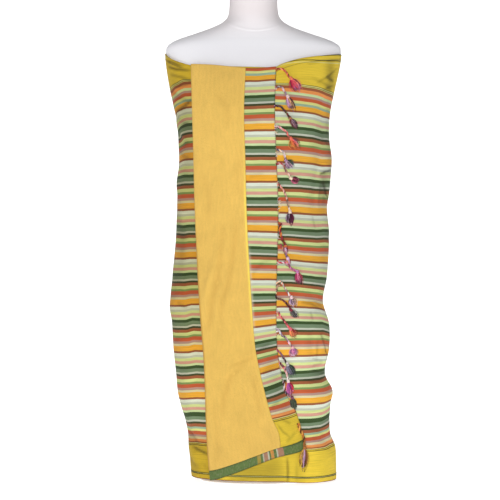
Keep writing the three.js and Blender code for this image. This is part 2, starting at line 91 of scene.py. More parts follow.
# height, how far right the lining and the fringed end reach
FLAP_EDGES = [
    (8, 59, 116), (95, 59, 113), (121, 55, 108), (150, 42, 100), (172, 35, 92), (210, 25, 71), (261, 13, 60),
    (317, 3, 52), (439, -6, 51), (606, -15, 55), (728, -18, 51), (839, -21, 47), (948, -17, 51)]
# turns from the front middle, heights of the top edge and the hem
WRAP_EDGES = [
    (-0.2, 932, 12), (0.04, 932, 11), (0.065, 945, 9), (0.11, 959, 6), (0.16, 967, 5), (0.25, 976, 4),
    (0.5, 972, 8), (0.74, 981, 11), (0.82, 954, 11), (0.86, 944, 11), (1.2, 934, 12)]
# distance right of the middle, heights of the flap's top fold and its bottom edge
FLAP_HEIGHTS = [
    (-140, 947, 9), (-95, 944, 11), (-50, 939, 26), (0, 935, 46), (50, 939, 65), (96, 943, 75),
    (120, 945, 84)]
WALL = 1.8            # thickness of the lined cloth
FLAP_WALL = 1.2
TERRY_WALL = 2.0
FACING_WALL = 1.2
LAYER_GAP = 0.8       # between cloth that lies on cloth
SEAM_GAP = 0.3        # between pieces that are sewn together
DIVE_DEPTH = 4.4      # how far the left front sinks to pass under the fold
WRAP_TURNS = 1.2      # from the fold once round the form, to the underlap's end
ROUND_GIRTH = 930     # one turn, in round figures
EDGE_TOP = 938        # the heights at which places along the edges are counted
EDGE_HEM = 18
FLAP_HEM = 28
FACING_HEIGHT = 21
BEND_RADIUS = LAYER_GAP / 2 + FLAP_WALL


def rows_at(table, values):
    """A smooth curve through a table's rows, read at many values of its first column."""
    rows = np.asarray(table, float)
    values = np.atleast_1d(np.asarray(values, float))
    i = np.clip(np.searchsorted(rows[:, 0], values, side="right") - 1, 0, len(rows) - 2)
    low, high = rows[i], rows[i + 1]
    before, after = rows[np.maximum(i - 1, 0)], rows[np.minimum(i + 2, len(rows) - 1)]
    span = high[:, :1] - low[:, :1]
    share = np.clip((values[:, None] - low[:, :1]) / span, 0, 1)
    slope_low = (high - before) / (high[:, :1] - before[:, :1]) * span
    slope_high = (after - low) / (after[:, :1] - low[:, :1]) * span
    bend = (2 * low - 2 * high + slope_low + slope_high) * share
    return low + share * (slope_low + share * (3 * (high - low) - 2 * slope_low - slope_high + bend))


def ease(low, high, values):
    """A smooth step from 0 to 1 between two values."""
    t = np.clip((values - low) / (high - low), 0, 1)
    return t * t * (3 - 2 * t)


print("sections of the wrap:", len(WRAP_SECTIONS))

# %% [markdown]
# ## A tape measure round the wrap
#
# Cloth doesn't stretch much, so places on it are easiest to give as a tailor does: a height, and a
# distance along a tape laid round the form from the front middle. This cell measures the rounded sections
# once, millimetre by millimetre in height, and keeps the results as tables to look up.

# %% Measure the wrap with a tape
HEIGHTS = np.arange(-20.0, 1001.0)
ANGLE_STEPS = 1440
TAPE_STEPS = 1440


def section_points(table, heights, angles):
    """x, y and the outward direction of rounded sections. Angle 0 is the front, +90 degrees the right."""
    left, right, front, back, square = rows_at(table, heights).T[1:, :, None]
    power = 2 / square
    s, c = np.sin(angles), np.cos(angles)
    half, depth = (right + left) / 2, np.where(c > 0, front, back)
    x = (right - left) / 2 + half * np.sign(s) * np.abs(s) ** power
    y = -depth * np.sign(c) * np.abs(c) ** power
    nx = np.sign(s) * np.abs(s) ** (2 - power) / half
    ny = -np.sign(c) * np.abs(c) ** (2 - power) / depth
    size = np.hypot(nx, ny)
    return x, y, nx / size, ny / size


ring = np.linspace(-math.pi, math.pi, ANGLE_STEPS + 1)[None, :]
ring_x, ring_y, ring_nx, ring_ny = section_points(WRAP_SECTIONS, HEIGHTS, ring)
steps = np.hypot(np.diff(ring_x, axis=1), np.diff(ring_y, axis=1))
tape = np.concatenate([np.zeros((len(HEIGHTS), 1)), np.cumsum(steps, axis=1)], axis=1)
tape_front = tape[:, ANGLE_STEPS // 2]
GIRTH = tape[:, -1]


def by_tape(values):
    """Values known by angle, read again at even distances along the tape from the front middle."""
    out = np.empty((len(HEIGHTS), TAPE_STEPS + 1))
    for i, length in enumerate(GIRTH):
        places = (tape_front[i] + np.linspace(0, length, TAPE_STEPS + 1)) % length
        out[i] = np.interp(places, tape[i], values[i])
    out[:, -1] = out[:, 0]
    return out


TAPE_X, TAPE_Y, TAPE_NX, TAPE_NY = (by_tape(v) for v in (ring_x, ring_y, ring_nx, ring_ny))
print("girth at the hem, the waist and the top:", np.interp([20, 640, 940], HEIGHTS, GIRTH).round())


# %% Look up places on the wrap
def girth_at(z):
    return np.interp(z, HEIGHTS, GIRTH)


def read_between(grid, z, column):
    """Reads a grid that has a row for each height between its rows and columns."""
    row = np.clip(z - HEIGHTS[0], 0, len(HEIGHTS) - 1.001)
    i, j = row.astype(int), np.minimum(column.astype(int), grid.shape[1] - 2)
    fi, fj = row - i, column - j
    low = grid[i, j] * (1 - fj) + grid[i, j + 1] * fj
    high = grid[i + 1, j] * (1 - fj) + grid[i + 1, j + 1] * fj
    return low * (1 - fi) + high * fi


def on_wrap(around, z, lift=0.0):
    """Points on the wrap, in millimetres, lifted off it along its outward direction."""
    around, z = np.broadcast_arrays(np.asarray(around, float), np.asarray(z, float))
    column = (around / girth_at(z)) % 1.0 * TAPE_STEPS
    x, y, nx, ny = (read_between(grid, z, column) for grid in (TAPE_X, TAPE_Y, TAPE_NX, TAPE_NY))
    size = np.hypot(nx, ny)
    return np.stack([x + nx / size * lift, y + ny / size * lift, z], axis=-1)


def around_at_x(x, z):
    """The tape distance on the front half at a distance right of the middle."""
    x, z = np.broadcast_arrays(np.asarray(x, float), np.asarray(z, float))
    left, right, _, _, square = rows_at(WRAP_SECTIONS, z.ravel()).T[1:]
    share = np.clip((x.ravel() - (right - left) / 2) / ((right + left) / 2), -1, 1)
    angle = np.arcsin(np.sign(share) * np.abs(share) ** (square / 2))
    column = (angle + math.pi) / (2 * math.pi) * ANGLE_STEPS
    return read_between(tape - tape_front[:, None], z.ravel(), column).reshape(x.shape)


FOLD_AROUND = around_at_x(-rows_at(FOLD_LINE, HEIGHTS)[:, 1], HEIGHTS)
LINING_AROUND = around_at_x(rows_at(FLAP_EDGES, HEIGHTS)[:, 1], HEIGHTS)
END_AROUND = around_at_x(rows_at(FLAP_EDGES, HEIGHTS)[:, 2], HEIGHTS)


def fold_around(z):
    return np.interp(z, HEIGHTS, FOLD_AROUND)


def lining_around(z):
    return np.interp(z, HEIGHTS, LINING_AROUND)


def end_around(z):
    return np.interp(z, HEIGHTS, END_AROUND)


def wrap_place(turns, share):
    """Where a number of turns past the fold, and a share of the height, lie on the wrap."""
    def turn_at(z):
        return fold_around(z) / girth_at(z) + turns
    top = rows_at(WRAP_EDGES, turn_at(EDGE_TOP).ravel())[:, 1].reshape(turns.shape)
    hem = rows_at(WRAP_EDGES, turn_at(EDGE_HEM).ravel())[:, 2].reshape(turns.shape)
    z = hem + (top - hem) * share
    return turn_at(z) * girth_at(z), z


print("the fold lies", round(float(fold_around(500))), "mm along the tape at mid height")

# %% [markdown]
# ## Folds and creases
#
# Real cloth is never smooth: it pulls towards the places that hold it, sags between them and keeps the
# creases it was folded with. A simulation would give some folds, but not the ones in the photograph. So each
# one is given as a soft ridge or trough with a place, a lean, a length, a width and a height. The long ones
# are the frame's. The fine ones are only here, and similar ones lie on the hidden sides.

# %% Folds of the wrap
# distance round, height, lean from upright in degrees, half length, width, how far it stands out
WRAP_FOLDS = [
    (150, 678, 4, 90, 13, -5), (172, 723, -50, 45, 13, -4), (148, 318, 6, 60, 14, -4),
    (185, 413, -72, 60, 13, -6), (165, 250, 75, 70, 14, -6), (205, 203, 70, 80, 18, 5),
    (90, 48, 3, 60, 13, -4), (165, 98, -60, 60, 16, -5), (-190, 838, -55, 60, 15, 4),
    (-205, 778, -60, 60, 15, -5), (-215, 678, -50, 70, 16, 4), (-190, 408, 60, 70, 16, 4),
    (-185, 108, -40, 80, 16, -5), (-170, 58, -45, 60, 14, 4), (330, 688, 20, 150, 22, 5),
    (385, 508, 12, 180, 22, -5), (455, 628, -6, 220, 24, 5), (455, 228, 4, 200, 26, 6),
    (350, 168, -10, 170, 24, 6), (-380, 548, -14, 180, 22, -5), (-330, 708, -22, 140, 22, 5),
    (-340, 198, 8, 180, 24, 6)]
FLAP_FOLDS = [
    (-74, 508, 14, 130, 13, 3), (-92, 453, 13, 120, 12, 3), (-20, 278, 52, 60, 13, 2.5),
    (-60, 788, 8, 120, 15, 2), (30, 188, 30, 90, 14, 2.5)]
# creases too fine for the frame's solids
WRAP_CREASES = [
    (168, 655, 1, 42, 4.5, -2.6), (176, 722, -68, 22, 4.5, 2.2), (163, 306, 3, 34, 4.5, -2.4),
    (200, 405, -78, 38, 5, -2.2), (190, 246, 82, 34, 5, -2.2), (74, 30, 2, 34, 4, -2.4),
    (205, 900, 70, 30, 6, -1.6), (215, 560, -76, 30, 6, -1.8), (150, 120, -66, 40, 6, -1.8),
    (-178, 906, -74, 44, 6, -2.6), (-170, 888, -70, 50, 6, 2.2), (-176, 872, -66, 52, 6, -2.6),
    (-172, 848, -62, 46, 5, 2.0), (-180, 818, -58, 44, 6, -2.4), (-176, 786, -60, 40, 6, 1.8),
    (-186, 742, -66, 40, 6, -2.2), (-182, 700, -70, 36, 6, 1.6), (-180, 560, -82, 34, 6, -1.5),
    (-190, 470, 78, 32, 6, -1.5), (-182, 330, 72, 38, 6, -1.6), (-160, 92, -52, 46, 6, -2.6),
    (-150, 60, -48, 40, 6, 2.2), (-140, 40, -44, 30, 5, -2.0)]

# creases drawn on the front: points (distance right of the middle, height), width, depth, painted shade
WRAP_LINES = [
    ([(166, 735), (168, 690), (166, 625)], 20, 5, 0), ([(160, 296), (162, 236)], 18, 5, 0),
    ([(152, 778), (170, 769)], 2.55, -1.2, 0.52), ([(172, 965), (176, 920), (170, 880)], 15, -1.5, 0.42),
    ([(140, 903), (174, 924), (192, 944)], 3, -1.2, 0.32), ([(150, 886), (186, 906)], 3, -1.0, 0.3),
    ([(118, 946), (158, 957), (196, 960)], 2.6, -0.8, 0.3),
    ([(128, 918), (168, 900), (180, 888)], 3.5, -0.9, 0.24), ([(165, 922), (184, 910)], 3.4, -1.6, 0.6),
    ([(150, 698), (164, 706), (178, 713)], 2.55, -2, 0.75),
    ([(157, 686), (163, 655), (170, 629)], 2.55, -2, 0.75),
    ([(160, 714), (158, 672), (162, 626)], 13, -2, 0.4), ([(132, 607), (140, 575)], 3.4, -0.8, 0.22),
    ([(105, 411), (129, 409), (154, 393)], 3.4, -1.4, 0.3), ([(129, 391), (134, 370)], 3.4, -1, 0.3),
    ([(152, 341), (163, 307)], 3.4, -1.6, 0.45), ([(162, 314), (165, 286), (167, 258)], 2.55, -2.2, 0.75),
    ([(132, 254), (163, 247)], 3.4, -1.8, 0.45), ([(132, 283), (156, 276)], 2.55, -0.9, 0.3),
    ([(132, 267), (156, 271)], 2.55, -0.9, 0.3), ([(116, 237), (141, 232), (168, 240)], 2.55, -1.2, 0.45),
    ([(150, 130), (172, 142), (184, 146)], 3.4, -1.2, 0.3),
    ([(75, 67), (77, 36), (76, 5)], 2.98, -1.6, 0.52), ([(-60, 30), (14, 36), (70, 40)], 30, -0.4, 0.34),
    ([(-200, 962), (-182, 952), (-160, 941)], 4.2, -0.8, 0.65),
    ([(-197, 948), (-178, 938), (-141, 932)], 3.2, -2.4, 0.7),
    ([(-192, 928), (-165, 919), (-138, 906)], 4.25, -2, 0.45),
    ([(-183, 892), (-161, 899), (-138, 906)], 2.55, -1, 0.3),
    ([(-176, 838), (-158, 852), (-139, 868)], 3.82, -2.4, 0.68),
    ([(-172, 800), (-140, 822)], 4.25, -1.2, 0.3), ([(-178, 760), (-142, 772)], 4.25, -1.2, 0.33),
    ([(-140, 83), (-121, 74), (-102, 67)], 3.4, -2.2, 0.75), ([(-152, 58), (-120, 34)], 8, -1.6, 0.26),
    ([(-168, 120), (-138, 108)], 6, -1.2, 0.25), ([(-176, 640), (-160, 560), (-166, 470)], 12, -0.6, 0.2),
    ([(-172, 410), (-150, 396)], 4.25, -1, 0.3), ([(-160, 890), (-155, 780), (-158, 670)], 16, 0, 0.17),
    ([(174, 885), (169, 780), (168, 680)], 11, 0, 0.13)]
FLAP_LINES = [
    ([(50, 142), (66, 122), (82, 110)], 3, -0.5, 0.34), ([(58, 152), (84, 140)], 3, -0.5, 0.28),
    ([(72, 98), (94, 120)], 3.5, -0.4, 0.25), ([(36, 150), (44, 120), (60, 96)], 4, -0.4, 0.2),
    ([(30, 172), (58, 190)], 4, -0.4, 0.26), ([(-8, 470), (20, 500), (44, 508)], 5, -0.4, 0.18),
    ([(8, 300), (40, 326)], 5, -0.4, 0.22), ([(-12, 690), (24, 700)], 5, -0.3, 0.15),
    ([(10, 250), (46, 262)], 4, -0.4, 0.2), ([(30, 345), (54, 230), (92, 112)], 26, 0, 0.16)]


def fold_relief(folds, around, z, length=None):
    """How far a list of soft folds moves the cloth out."""
    relief = np.zeros(np.broadcast(around, z).shape)
    for place, height, lean, reach, width, out in folds:
        lean = math.radians(lean)
        aside = around - place
        if length is not None:
            aside = aside - length * np.round(aside / length)
        rise = z - height
        across = aside * math.cos(lean) - rise * math.sin(lean)
        along = aside * math.sin(lean) + rise * math.cos(lean)
        fade = np.clip(1 - (along / reach) ** 2, 0, None)
        relief += out * fade ** 2 * np.exp(-(across / width) ** 2)
    return relief


def scattered_creases(count, seed, place, height):
    """Fine creases for the sides that the photograph doesn't show."""
    random = np.random.default_rng(seed)
    return [(random.uniform(*place), random.uniform(*height), random.uniform(-80, 80), random.uniform(28, 70),
             random.uniform(5, 10), random.uniform(1.2, 2.8) * random.choice([-1, 1])) for _ in range(count)]


HIDDEN_CREASES = scattered_creases(70, 7, (245, 700), (50, 930))


def open_share(around, z):
    """1 where the wrap is seen, 0 where the flap and its fringe lie on it."""
    covered = ease(fold_around(z) - 45, fold_around(z) - 15, around)
    return 1 - covered + ease(end_around(z) - 5, end_around(z) + 25, around)


def line_relief(lines, around, z, what="depth"):
    """Creases drawn as lines on the front: how deep they are, or how much painted shade they put on the
    cloth.
    """
    length = girth_at(z)
    total = np.zeros(np.broadcast(around, z).shape)
    for points, width, depth, shade in lines:
        x, height = np.array(points, float).T
        place = around_at_x(x, height)
        nearest, along = np.full(total.shape, np.inf), np.zeros(total.shape)
        for n in range(len(points) - 1):
            aside, rise = around - place[n], z - height[n]
            aside = aside - length * np.round(aside / length)
            da, dz = place[n + 1] - place[n], height[n + 1] - height[n]
            t = np.clip((aside * da + rise * dz) / (da * da + dz * dz), 0, 1)
            gap = np.hypot(aside - t * da, rise - t * dz)
            nearer = gap < nearest
            nearest = np.where(nearer, gap, nearest)
            along = np.where(nearer, (n + t) / (len(points) - 1), along)
        amount = depth if what == "depth" else shade
        total += amount * (1 - (2 * along - 1) ** 4) * np.exp(-(nearest / width) ** 2)
    return total


def wrap_relief(around, z, fine=True):
    """How far the wrap stands out. The large folds die out towards the top edge."""
    length = girth_at(z)
    relief = fold_relief(WRAP_FOLDS, around, z, length) * ease(973, 918, z)
    if fine:
        relief = relief + fold_relief(WRAP_CREASES + HIDDEN_CREASES, around, z, length)
    return relief * open_share(around, z) + (line_relief(WRAP_LINES, around, z) if fine else 0)


# painted shade: fine troughs and drawn lines are made darker, up to DARKEST
TROUGH_SHADE = 0.09   # darkening for each mm that a fine crease sinks in
DARKEST = 0.75


def wrap_shade(around, z):
    """The wrap's painted shade: how much darker it is made in its creases and along the lines drawn on it."""
    fine = fold_relief(WRAP_CREASES + HIDDEN_CREASES, around, z, girth_at(z))
    shade = line_relief(WRAP_LINES, around, z, "shade") - TROUGH_SHADE * np.minimum(fine, 0)
    return np.clip(shade, 0, DARKEST)


def flap_relief(around, z):
    inside = ease(fold_around(z), fold_around(z) + 22, around)
    ends = ease(end_around(z), end_around(z) - 22, around)
    return fold_relief(FLAP_FOLDS, around, z) * inside * ends * ease(88, 128, z) * ease(938, 903, z)


def flap_lines(around, z, what="depth"):
    return line_relief(FLAP_LINES, around, z, what) * ease(lining_around(z) + 2, lining_around(z) + 8, around)


print("folds:", len(WRAP_FOLDS) + len(FLAP_FOLDS))
print("fine creases:", len(WRAP_CREASES) + len(HIDDEN_CREASES))
print("drawn lines:", len(WRAP_LINES) + len(FLAP_LINES))

# %% [markdown]
# ## Where the stripes run
#
# The stripes are woven along the cloth's length. Wound on the form they run round it, nearly level, and dip
# or rise where the cloth is pulled. The pattern repeats every 109.5 mm from one dark green stripe to the
# next. A table of the heights of the seven dark green stripes at a few places round the form is enough to
# find the place in the weave, `v`, of any point: the distance down from the cloth's top edge. Taking `v` from
# the height alone would be shorter, but the stripes would then be dead level. The wrap's table also gives the
# height at which the top border's lemon ends.

# %% Heights of the dark green stripes
FIRST_GREEN = 170.3   # v of the first dark green stripe
GREEN_STRIPES = 7
REPEAT = 109.5
CLOTH_WIDTH = 973.5
BORDER_PLACE = 75     # v at which the top border's lemon and its edge lines end
# turns, v at the top edge, heights of the lemon's end and of the dark green stripes from the top
WRAP_STRIPES = [
    (0.00, 16, 899, 800.6, 685.4, 573.6, 471.5, 364.0, 251.0, 144.4),
    (0.094, 12, 896, 800.6, 685.4, 573.6, 471.5, 364.0, 251.0, 144.4),
    (0.136, 6, 893, 800.0, 685.0, 571.3, 466.5, 362.3, 251.3, 142.4),
    (0.175, 1, 889, 797.7, 682.2, 570.0, 463.0, 361.0, 251.8, 143.6),
    (0.205, 0, 883, 793.5, 681.1, 571.3, 461.2, 354.5, 254.0, 149.0),
    (0.25, 0, 879, 794.8, 682.0, 571.7, 459.0, 348.6, 252.0, 155.4),
    (0.50, 0, 892, 797.0, 687.0, 577.0, 468.0, 360.0, 254.0, 148.0),
    (0.79, 14, 892, 798.8, 692.6, 581.3, 471.0, 364.8, 258.6, 151.6),
    (0.825, 28, 902, 807.8, 694.6, 580.0, 471.2, 365.6, 261.2, 156.4),
    (0.84, 28, 908, 810.6, 694.3, 581.3, 473.0, 370.5, 263.6, 157.0),
    (1.20, 28, 908, 810.6, 694.3, 581.3, 473.0, 370.5, 263.6, 157.0)]
# distance right of the middle, v at the top fold, then the same heights on the flap
FLAP_STRIPES = [
    (-140, 101, 864.0, 754.0, 641.3, 536.0, 426.4, 300.0, 196.0),
    (0, 101, 868.9, 755.4, 641.3, 531.9, 426.4, 319.0, 217.5),
    (60, 101, 872.0, 756.1, 641.3, 529.1, 426.4, 328.5, 232.0),
    (120, 101, 874.0, 756.6, 641.3, 527.0, 426.4, 336.0, 244.0)]


def weave_place(table, keys, z, top, hem):
    """v of points at heights z, where the cloth's edges lie at the heights top and hem."""
    stations, *columns = np.array(table, float).T
    rows = np.stack([np.interp(keys, stations, column) for column in columns], axis=-1)
    marks = FIRST_GREEN + REPEAT * np.arange(GREEN_STRIPES)
    if rows.shape[1] > GREEN_STRIPES + 1:
        marks = np.concatenate([[BORDER_PLACE], marks])
    v = np.empty(z.shape)
    for c in range(len(keys)):
        heights = np.concatenate([[hem[c]], rows[c, 1:][::-1], [top[c]]])
        places = np.concatenate([[CLOTH_WIDTH], marks[::-1], [rows[c, 0]]])
        keep = np.concatenate([[True], heights[1:] > heights[:-1] + 1])
        v[:, c] = np.interp(z[:, c], heights[keep], places[keep])
    return v


print("stripe repeat", REPEAT, "mm,", len(WRAP_STRIPES), "stations round the wrap")

# %% [markdown]
# ## Making a thin cloth
#
# A sheet in the real world has two faces and a rim. Blender's Solidify modifier could add the second face,
# but would make it as fine as the first. Here the outer face is a fine grid, which takes the creases, and the
# inner face has only every second line of it. A rim joins them, so the cloth is a closed wall of an even
# thickness. Each corner of a face keeps its place in the weave, in metres, as a UV map.

# %% Helpers for meshes
def new_object(name, points, faces, materials, face_material=None, uv=None):
    """An object from points in millimetres. uv holds a row for each point."""
    mesh = bpy.data.meshes.new(name)
    mesh.from_pydata((np.asarray(points) * MM).tolist(), [], faces)
    for material in materials:
        mesh.materials.append(material)
    if face_material is not None:
        mesh.polygons.foreach_set("material_index", np.asarray(face_material, dtype=np.int32))
    if uv is not None:
        corners = np.empty(len(mesh.loops), dtype=np.int32)
        mesh.loops.foreach_get("vertex_index", corners)
        layer = mesh.uv_layers.new(name="weave")
        layer.data.foreach_set("uv", (np.asarray(uv)[corners] * MM).astype(np.float32).ravel())
    mesh.polygons.foreach_set("use_smooth", np.ones(len(mesh.polygons), dtype=bool))
    mesh.update()
    piece = bpy.data.objects.new(name, mesh)
    bpy.context.scene.collection.objects.link(piece)
    return piece


def cloth(name, outer, inner, weave, materials):
    """A closed thin cloth. outer is a grid of rows and columns, both even; inner has half as many."""
    rows, columns = outer.shape[0] - 1, outer.shape[1] - 1
    half_rows, half_columns = rows // 2, columns // 2
    o = np.arange((rows + 1) * (columns + 1)).reshape(rows + 1, columns + 1)
    i = o.size + np.arange((half_rows + 1) * (half_columns + 1)).reshape(half_rows + 1, half_columns + 1)
    front = np.stack([o[:-1, :-1], o[:-1, 1:], o[1:, 1:], o[1:, :-1]], axis=-1).reshape(-1, 4)
    back = np.stack([i[:-1, :-1], i[1:, :-1], i[1:, 1:], i[:-1, 1:]], axis=-1).reshape(-1, 4)
    rim = []
    for c in range(half_columns):
        a, b = 2 * c, 2 * c + 2
        rim.append([i[0, c], i[0, c + 1], o[0, b], o[0, a + 1], o[0, a]])
        rim.append([o[-1, a], o[-1, a + 1], o[-1, b], i[-1, c + 1], i[-1, c]])
    for r in range(half_rows):
        a, b = 2 * r, 2 * r + 2
        rim.append([i[r, 0], o[a, 0], o[a + 1, 0], o[b, 0], i[r + 1, 0]])
        rim.append([o[a, -1], i[r, -1], i[r + 1, -1], o[b, -1], o[a + 1, -1]])
    faces = front.tolist() + back.tolist() + [[int(k) for k in face] for face in rim]
    points = np.concatenate([outer.reshape(-1, 3), inner.reshape(-1, 3)])
    uv = np.concatenate([weave.reshape(-1, 2), weave[::2, ::2].reshape(-1, 2)])
    kinds = np.concatenate([np.zeros(len(front)), np.full(len(back), len(materials) - 1), np.zeros(len(rim))])
    return new_object(name, points, faces, materials, kinds, uv)


def paint(piece, name, grid):
    """Stores a number for each point of a cloth's outer face, and 0 for its inner face."""
    values = np.zeros(len(piece.data.vertices), dtype=np.float32)
    values[:grid.size] = grid.ravel()
    piece.data.attributes.new(name, "FLOAT", "POINT").data.foreach_set("value", values)


def spread(stretches):
    """Places from a list of stretches (start, end, parts), each split evenly."""
    places = [stretches[0][0]]
    for start, end, parts in stretches:
        places.extend(start + (end - start) * np.arange(1, parts + 1) / parts)
    return np.array(places)


def ring_faces(rings, sides):
    """The faces of a skin over rings of points, with a cap at each end."""
    faces = []
    for r in range(rings - 1):
        for s in range(sides):
            a, b = r * sides + s, r * sides + (s + 1) % sides
            faces.append([a, b, b + sides, a + sides])
    last = (rings - 1) * sides
    return faces + [list(range(sides))[::-1], list(range(last, last + sides))]


print("mesh helpers ready, points in mm, meshes in m:", MM)

# %% [markdown]
# ## Colours and finishes
#
# All finishes are built from Blender's own noise and waves, on the place in the weave, so that they follow
# the cloth round every fold. Pictures of fabric could be laid on it too, but they repeat and show their
# seams, and noise doesn't. Colours are given as a dyer would read them off a chart, from 0 to 255.

# %% Helpers for finishes
def colour(red, green, blue):
    """A chart colour as the linear light that a shader takes."""
    def linear(value):
        value /= 255
        return value / 12.92 if value <= 0.04045 else ((value + 0.055) / 1.055) ** 2.4
    return tuple(linear(v) for v in (red, green, blue)) + (1.0,)


def add_node(tree, kind, inputs=None, **settings):
    """Makes a node, sets its inputs, and links the sockets that are given for them."""
    made = tree.nodes.new(kind)
    for key, value in settings.items():
        setattr(made, key, value)
    for key, value in (inputs or {}).items():
        if isinstance(value, bpy.types.NodeSocket):
            tree.links.new(value, made.inputs[key])
        else:
            made.inputs[key].default_value = value
    return made


class Finish:
    """A material, with short names for the nodes that colour it and raise its surface."""

    def __init__(self, name, roughness, specular, sheen=0.0):
        self.material = bpy.data.materials.new(name)
        self.material.use_nodes = True
        self.tree = self.material.node_tree
        self.shader = self.tree.nodes["Principled BSDF"]
        self.shader.inputs["Roughness"].default_value = roughness
        self.shader.inputs["Sheen Weight"].default_value = sheen
        self.shader.inputs["Sheen Roughness"].default_value = 0.6
        self.shader.inputs["Specular IOR Level"].default_value = specular

    def add(self, kind, inputs=None, **settings):
        return add_node(self.tree, kind, inputs, **settings)

    def weave(self):
        """The place in the weave, in metres along and across the cloth."""
        return self.add("ShaderNodeUVMap", uv_map="weave").outputs["UV"]

    def place(self):
        return self.add("ShaderNodeTexCoord").outputs["Object"]

    def part(self, vector, axis):
        return self.add("ShaderNodeSeparateXYZ", {"Vector": vector}).outputs[axis]

    def painted(self, name):
        """An attribute that was painted on the mesh, or 0 where it has none."""
        return self.add("ShaderNodeAttribute", attribute_name=name).outputs["Fac"]

    def math(self, operation, first, second=0.0):
        return self.add("ShaderNodeMath", {0: first, 1: second}, operation=operation).outputs[0]

    def mix(self, factor, first, second, blend="MIX"):
        made = self.add("ShaderNodeMix", {0: factor, 6: first, 7: second}, data_type="RGBA", blend_type=blend)
        return made.outputs[2]

    def noise(self, vector, scale, detail=2.0, roughness=0.5):
        made = self.add("ShaderNodeTexNoise", {"Vector": vector, "Scale": scale, "Detail": detail,
                                               "Roughness": roughness})
        return made.outputs["Fac"]

    def threads(self, vector, scale, distortion, detail, across):
        """Fine even ribs, as yarns laid side by side."""
        made = self.add("ShaderNodeTexWave", {"Vector": vector, "Scale": scale, "Distortion": distortion,
                                              "Detail": detail}, bands_direction=across)
        return made.outputs["Fac"]

    def stretched(self, vector, x, y):
        made = self.add("ShaderNodeVectorMath", {0: vector, 1: (x, y, 1.0)}, operation="MULTIPLY")
        return made.outputs["Vector"]

    def range(self, value, low, high, out_low, out_high):
        made = self.add("ShaderNodeMapRange", {"Value": value, "From Min": low, "From Max": high,
                                               "To Min": out_low, "To Max": out_high})
        return made.outputs["Result"]

    def mottle(self, share, base, noise, dark, light):
        """Makes a colour darker and lighter by a noise, whose values lie mostly from 0.3 to 0.7."""
        return self.mix(share, base, self.range(noise, 0.3, 0.7, dark, light), blend="MULTIPLY")

    def finish(self, base, height=None, distance=0.0004, strength=1.0):
        """Links the colour and the bump."""
        self.tree.links.new(base, self.shader.inputs["Base Color"])
        if height is not None:
            bump = self.add("ShaderNodeBump", {"Height": height, "Distance": distance, "Strength": strength})
            self.tree.links.new(bump.outputs["Normal"], self.shader.inputs["Normal"])
        return self.material


print("white on the chart as light:", colour(255, 255, 255))

# %% [markdown]
# ## The striped cotton
#
# A kikoy's stripes are warp stripes: dyed yarns laid side by side on the loom. Each stripe has a hard edge,
# so a colour ramp with constant steps is the right tool. One ramp holds the top border, one the repeat,
# which is read over and over with the fraction of v, and one the bottom border. Fine streaks along the yarn
# and the small bumps of the plain weave lie over all three. A paler strip beside the lining, and painted
# light and shade, are kept on the mesh as attributes and only mixed in here: shade in the creases, light on
# the lower stripes, and a darker, yellower tint left of the fold for light thrown back by the terry.

# %% Stripe chart
YARNS = {
    "lemon": (226, 196, 62), "olive": (96, 94, 40), "straw": (222, 214, 130), "rust": (158, 92, 58),
    "apricot": (232, 148, 82), "mint": (196, 214, 158), "lilac": (176, 142, 130), "brick": (192, 92, 56),
    "pale yellow": (214, 214, 132), "teal": (152, 176, 148), "gold": (230, 168, 56), "brown": (146, 88, 56),
    "white": (216, 222, 204), "grey lilac": (186, 190, 172), "lime": (204, 214, 142), "pink": (206, 152, 134),
    "cream": (214, 204, 160), "dark green": (58, 78, 42), "grey green": (112, 132, 102),
    "pale grey": (188, 192, 174), "dark olive": (66, 70, 42), "leaf": (128, 150, 88)}
# yarn and width of each stripe in mm
TOP_BORDER = [
    ("olive", 1.4), ("lemon", 9.6), ("olive", 1.8), ("lemon", 2.4), ("straw", 2.2), ("lemon", 51.2),
    ("olive", 1.4), ("straw", 2.2), ("olive", 1.4), ("straw", 1.4), ("rust", 6), ("apricot", 8), ("mint", 6),
    ("lilac", 5), ("brick", 8), ("pale yellow", 6), ("teal", 5.5), ("gold", 10.5), ("brown", 4.8),
    ("white", 7), ("grey lilac", 5.5), ("lime", 7), ("pink", 6.5), ("mint", 6.2)]
# the repeat's widths add up to 109 mm, so its sixth turn starts 2.5 mm above its place in the table
REPEAT_STRIPES = [
    ("dark green", 6.5), ("grey green", 8), ("pale grey", 4.5), ("dark olive", 4.5), ("rust", 7), ("lime", 7),
    ("leaf", 5), ("brick", 8.5), ("lilac", 5.5), ("cream", 5), ("gold", 12.5), ("brown", 4.5), ("white", 7),
    ("grey lilac", 5), ("lime", 6.5), ("pink", 6.5), ("mint", 5.5)]
BOTTOM_BORDER = [
    ("dark green", 6.5), ("grey green", 8), ("pale grey", 4.5), ("dark olive", 4.5), ("rust", 7), ("teal", 5),
    ("pale yellow", 5), ("brick", 8), ("lilac", 5), ("cream", 5), ("apricot", 6), ("rust", 3), ("straw", 1.6),
    ("olive", 1.3), ("lemon", 2.0), ("olive", 1.3), ("lemon", 60.2), ("olive", 1.6), ("straw", 1.4),
    ("olive", 1.6), ("lemon", 9.2), ("brown", 1.8)]


def whole_width(stripes):
    return sum(width for _, width in stripes)


# the first dark green stripe is 6.5 mm wide, and v is counted to its middle
REPEAT_START = FIRST_GREEN - 3.25
BOTTOM_START = REPEAT_START + (GREEN_STRIPES - 1) * REPEAT
print("top border", round(whole_width(TOP_BORDER), 1), "mm, bottom border from", BOTTOM_START, "mm")


# %% Striped cotton
def colour_steps(finish, place, stops):
    """A ramp of constant steps. stops are places from 0 to 1, each with the chart colour from there on."""
    ramp = finish.add("ShaderNodeValToRGB", {"Fac": place})
    ramp.color_ramp.interpolation = "CONSTANT"
    steps = ramp.color_ramp.elements
    for n, (at, shade) in enumerate(stops):
        step = steps[0] if n == 0 else steps.new(at)
        step.position, step.color = at, colour(*shade)
    steps.remove(steps[-1])
    return ramp.outputs["Color"]


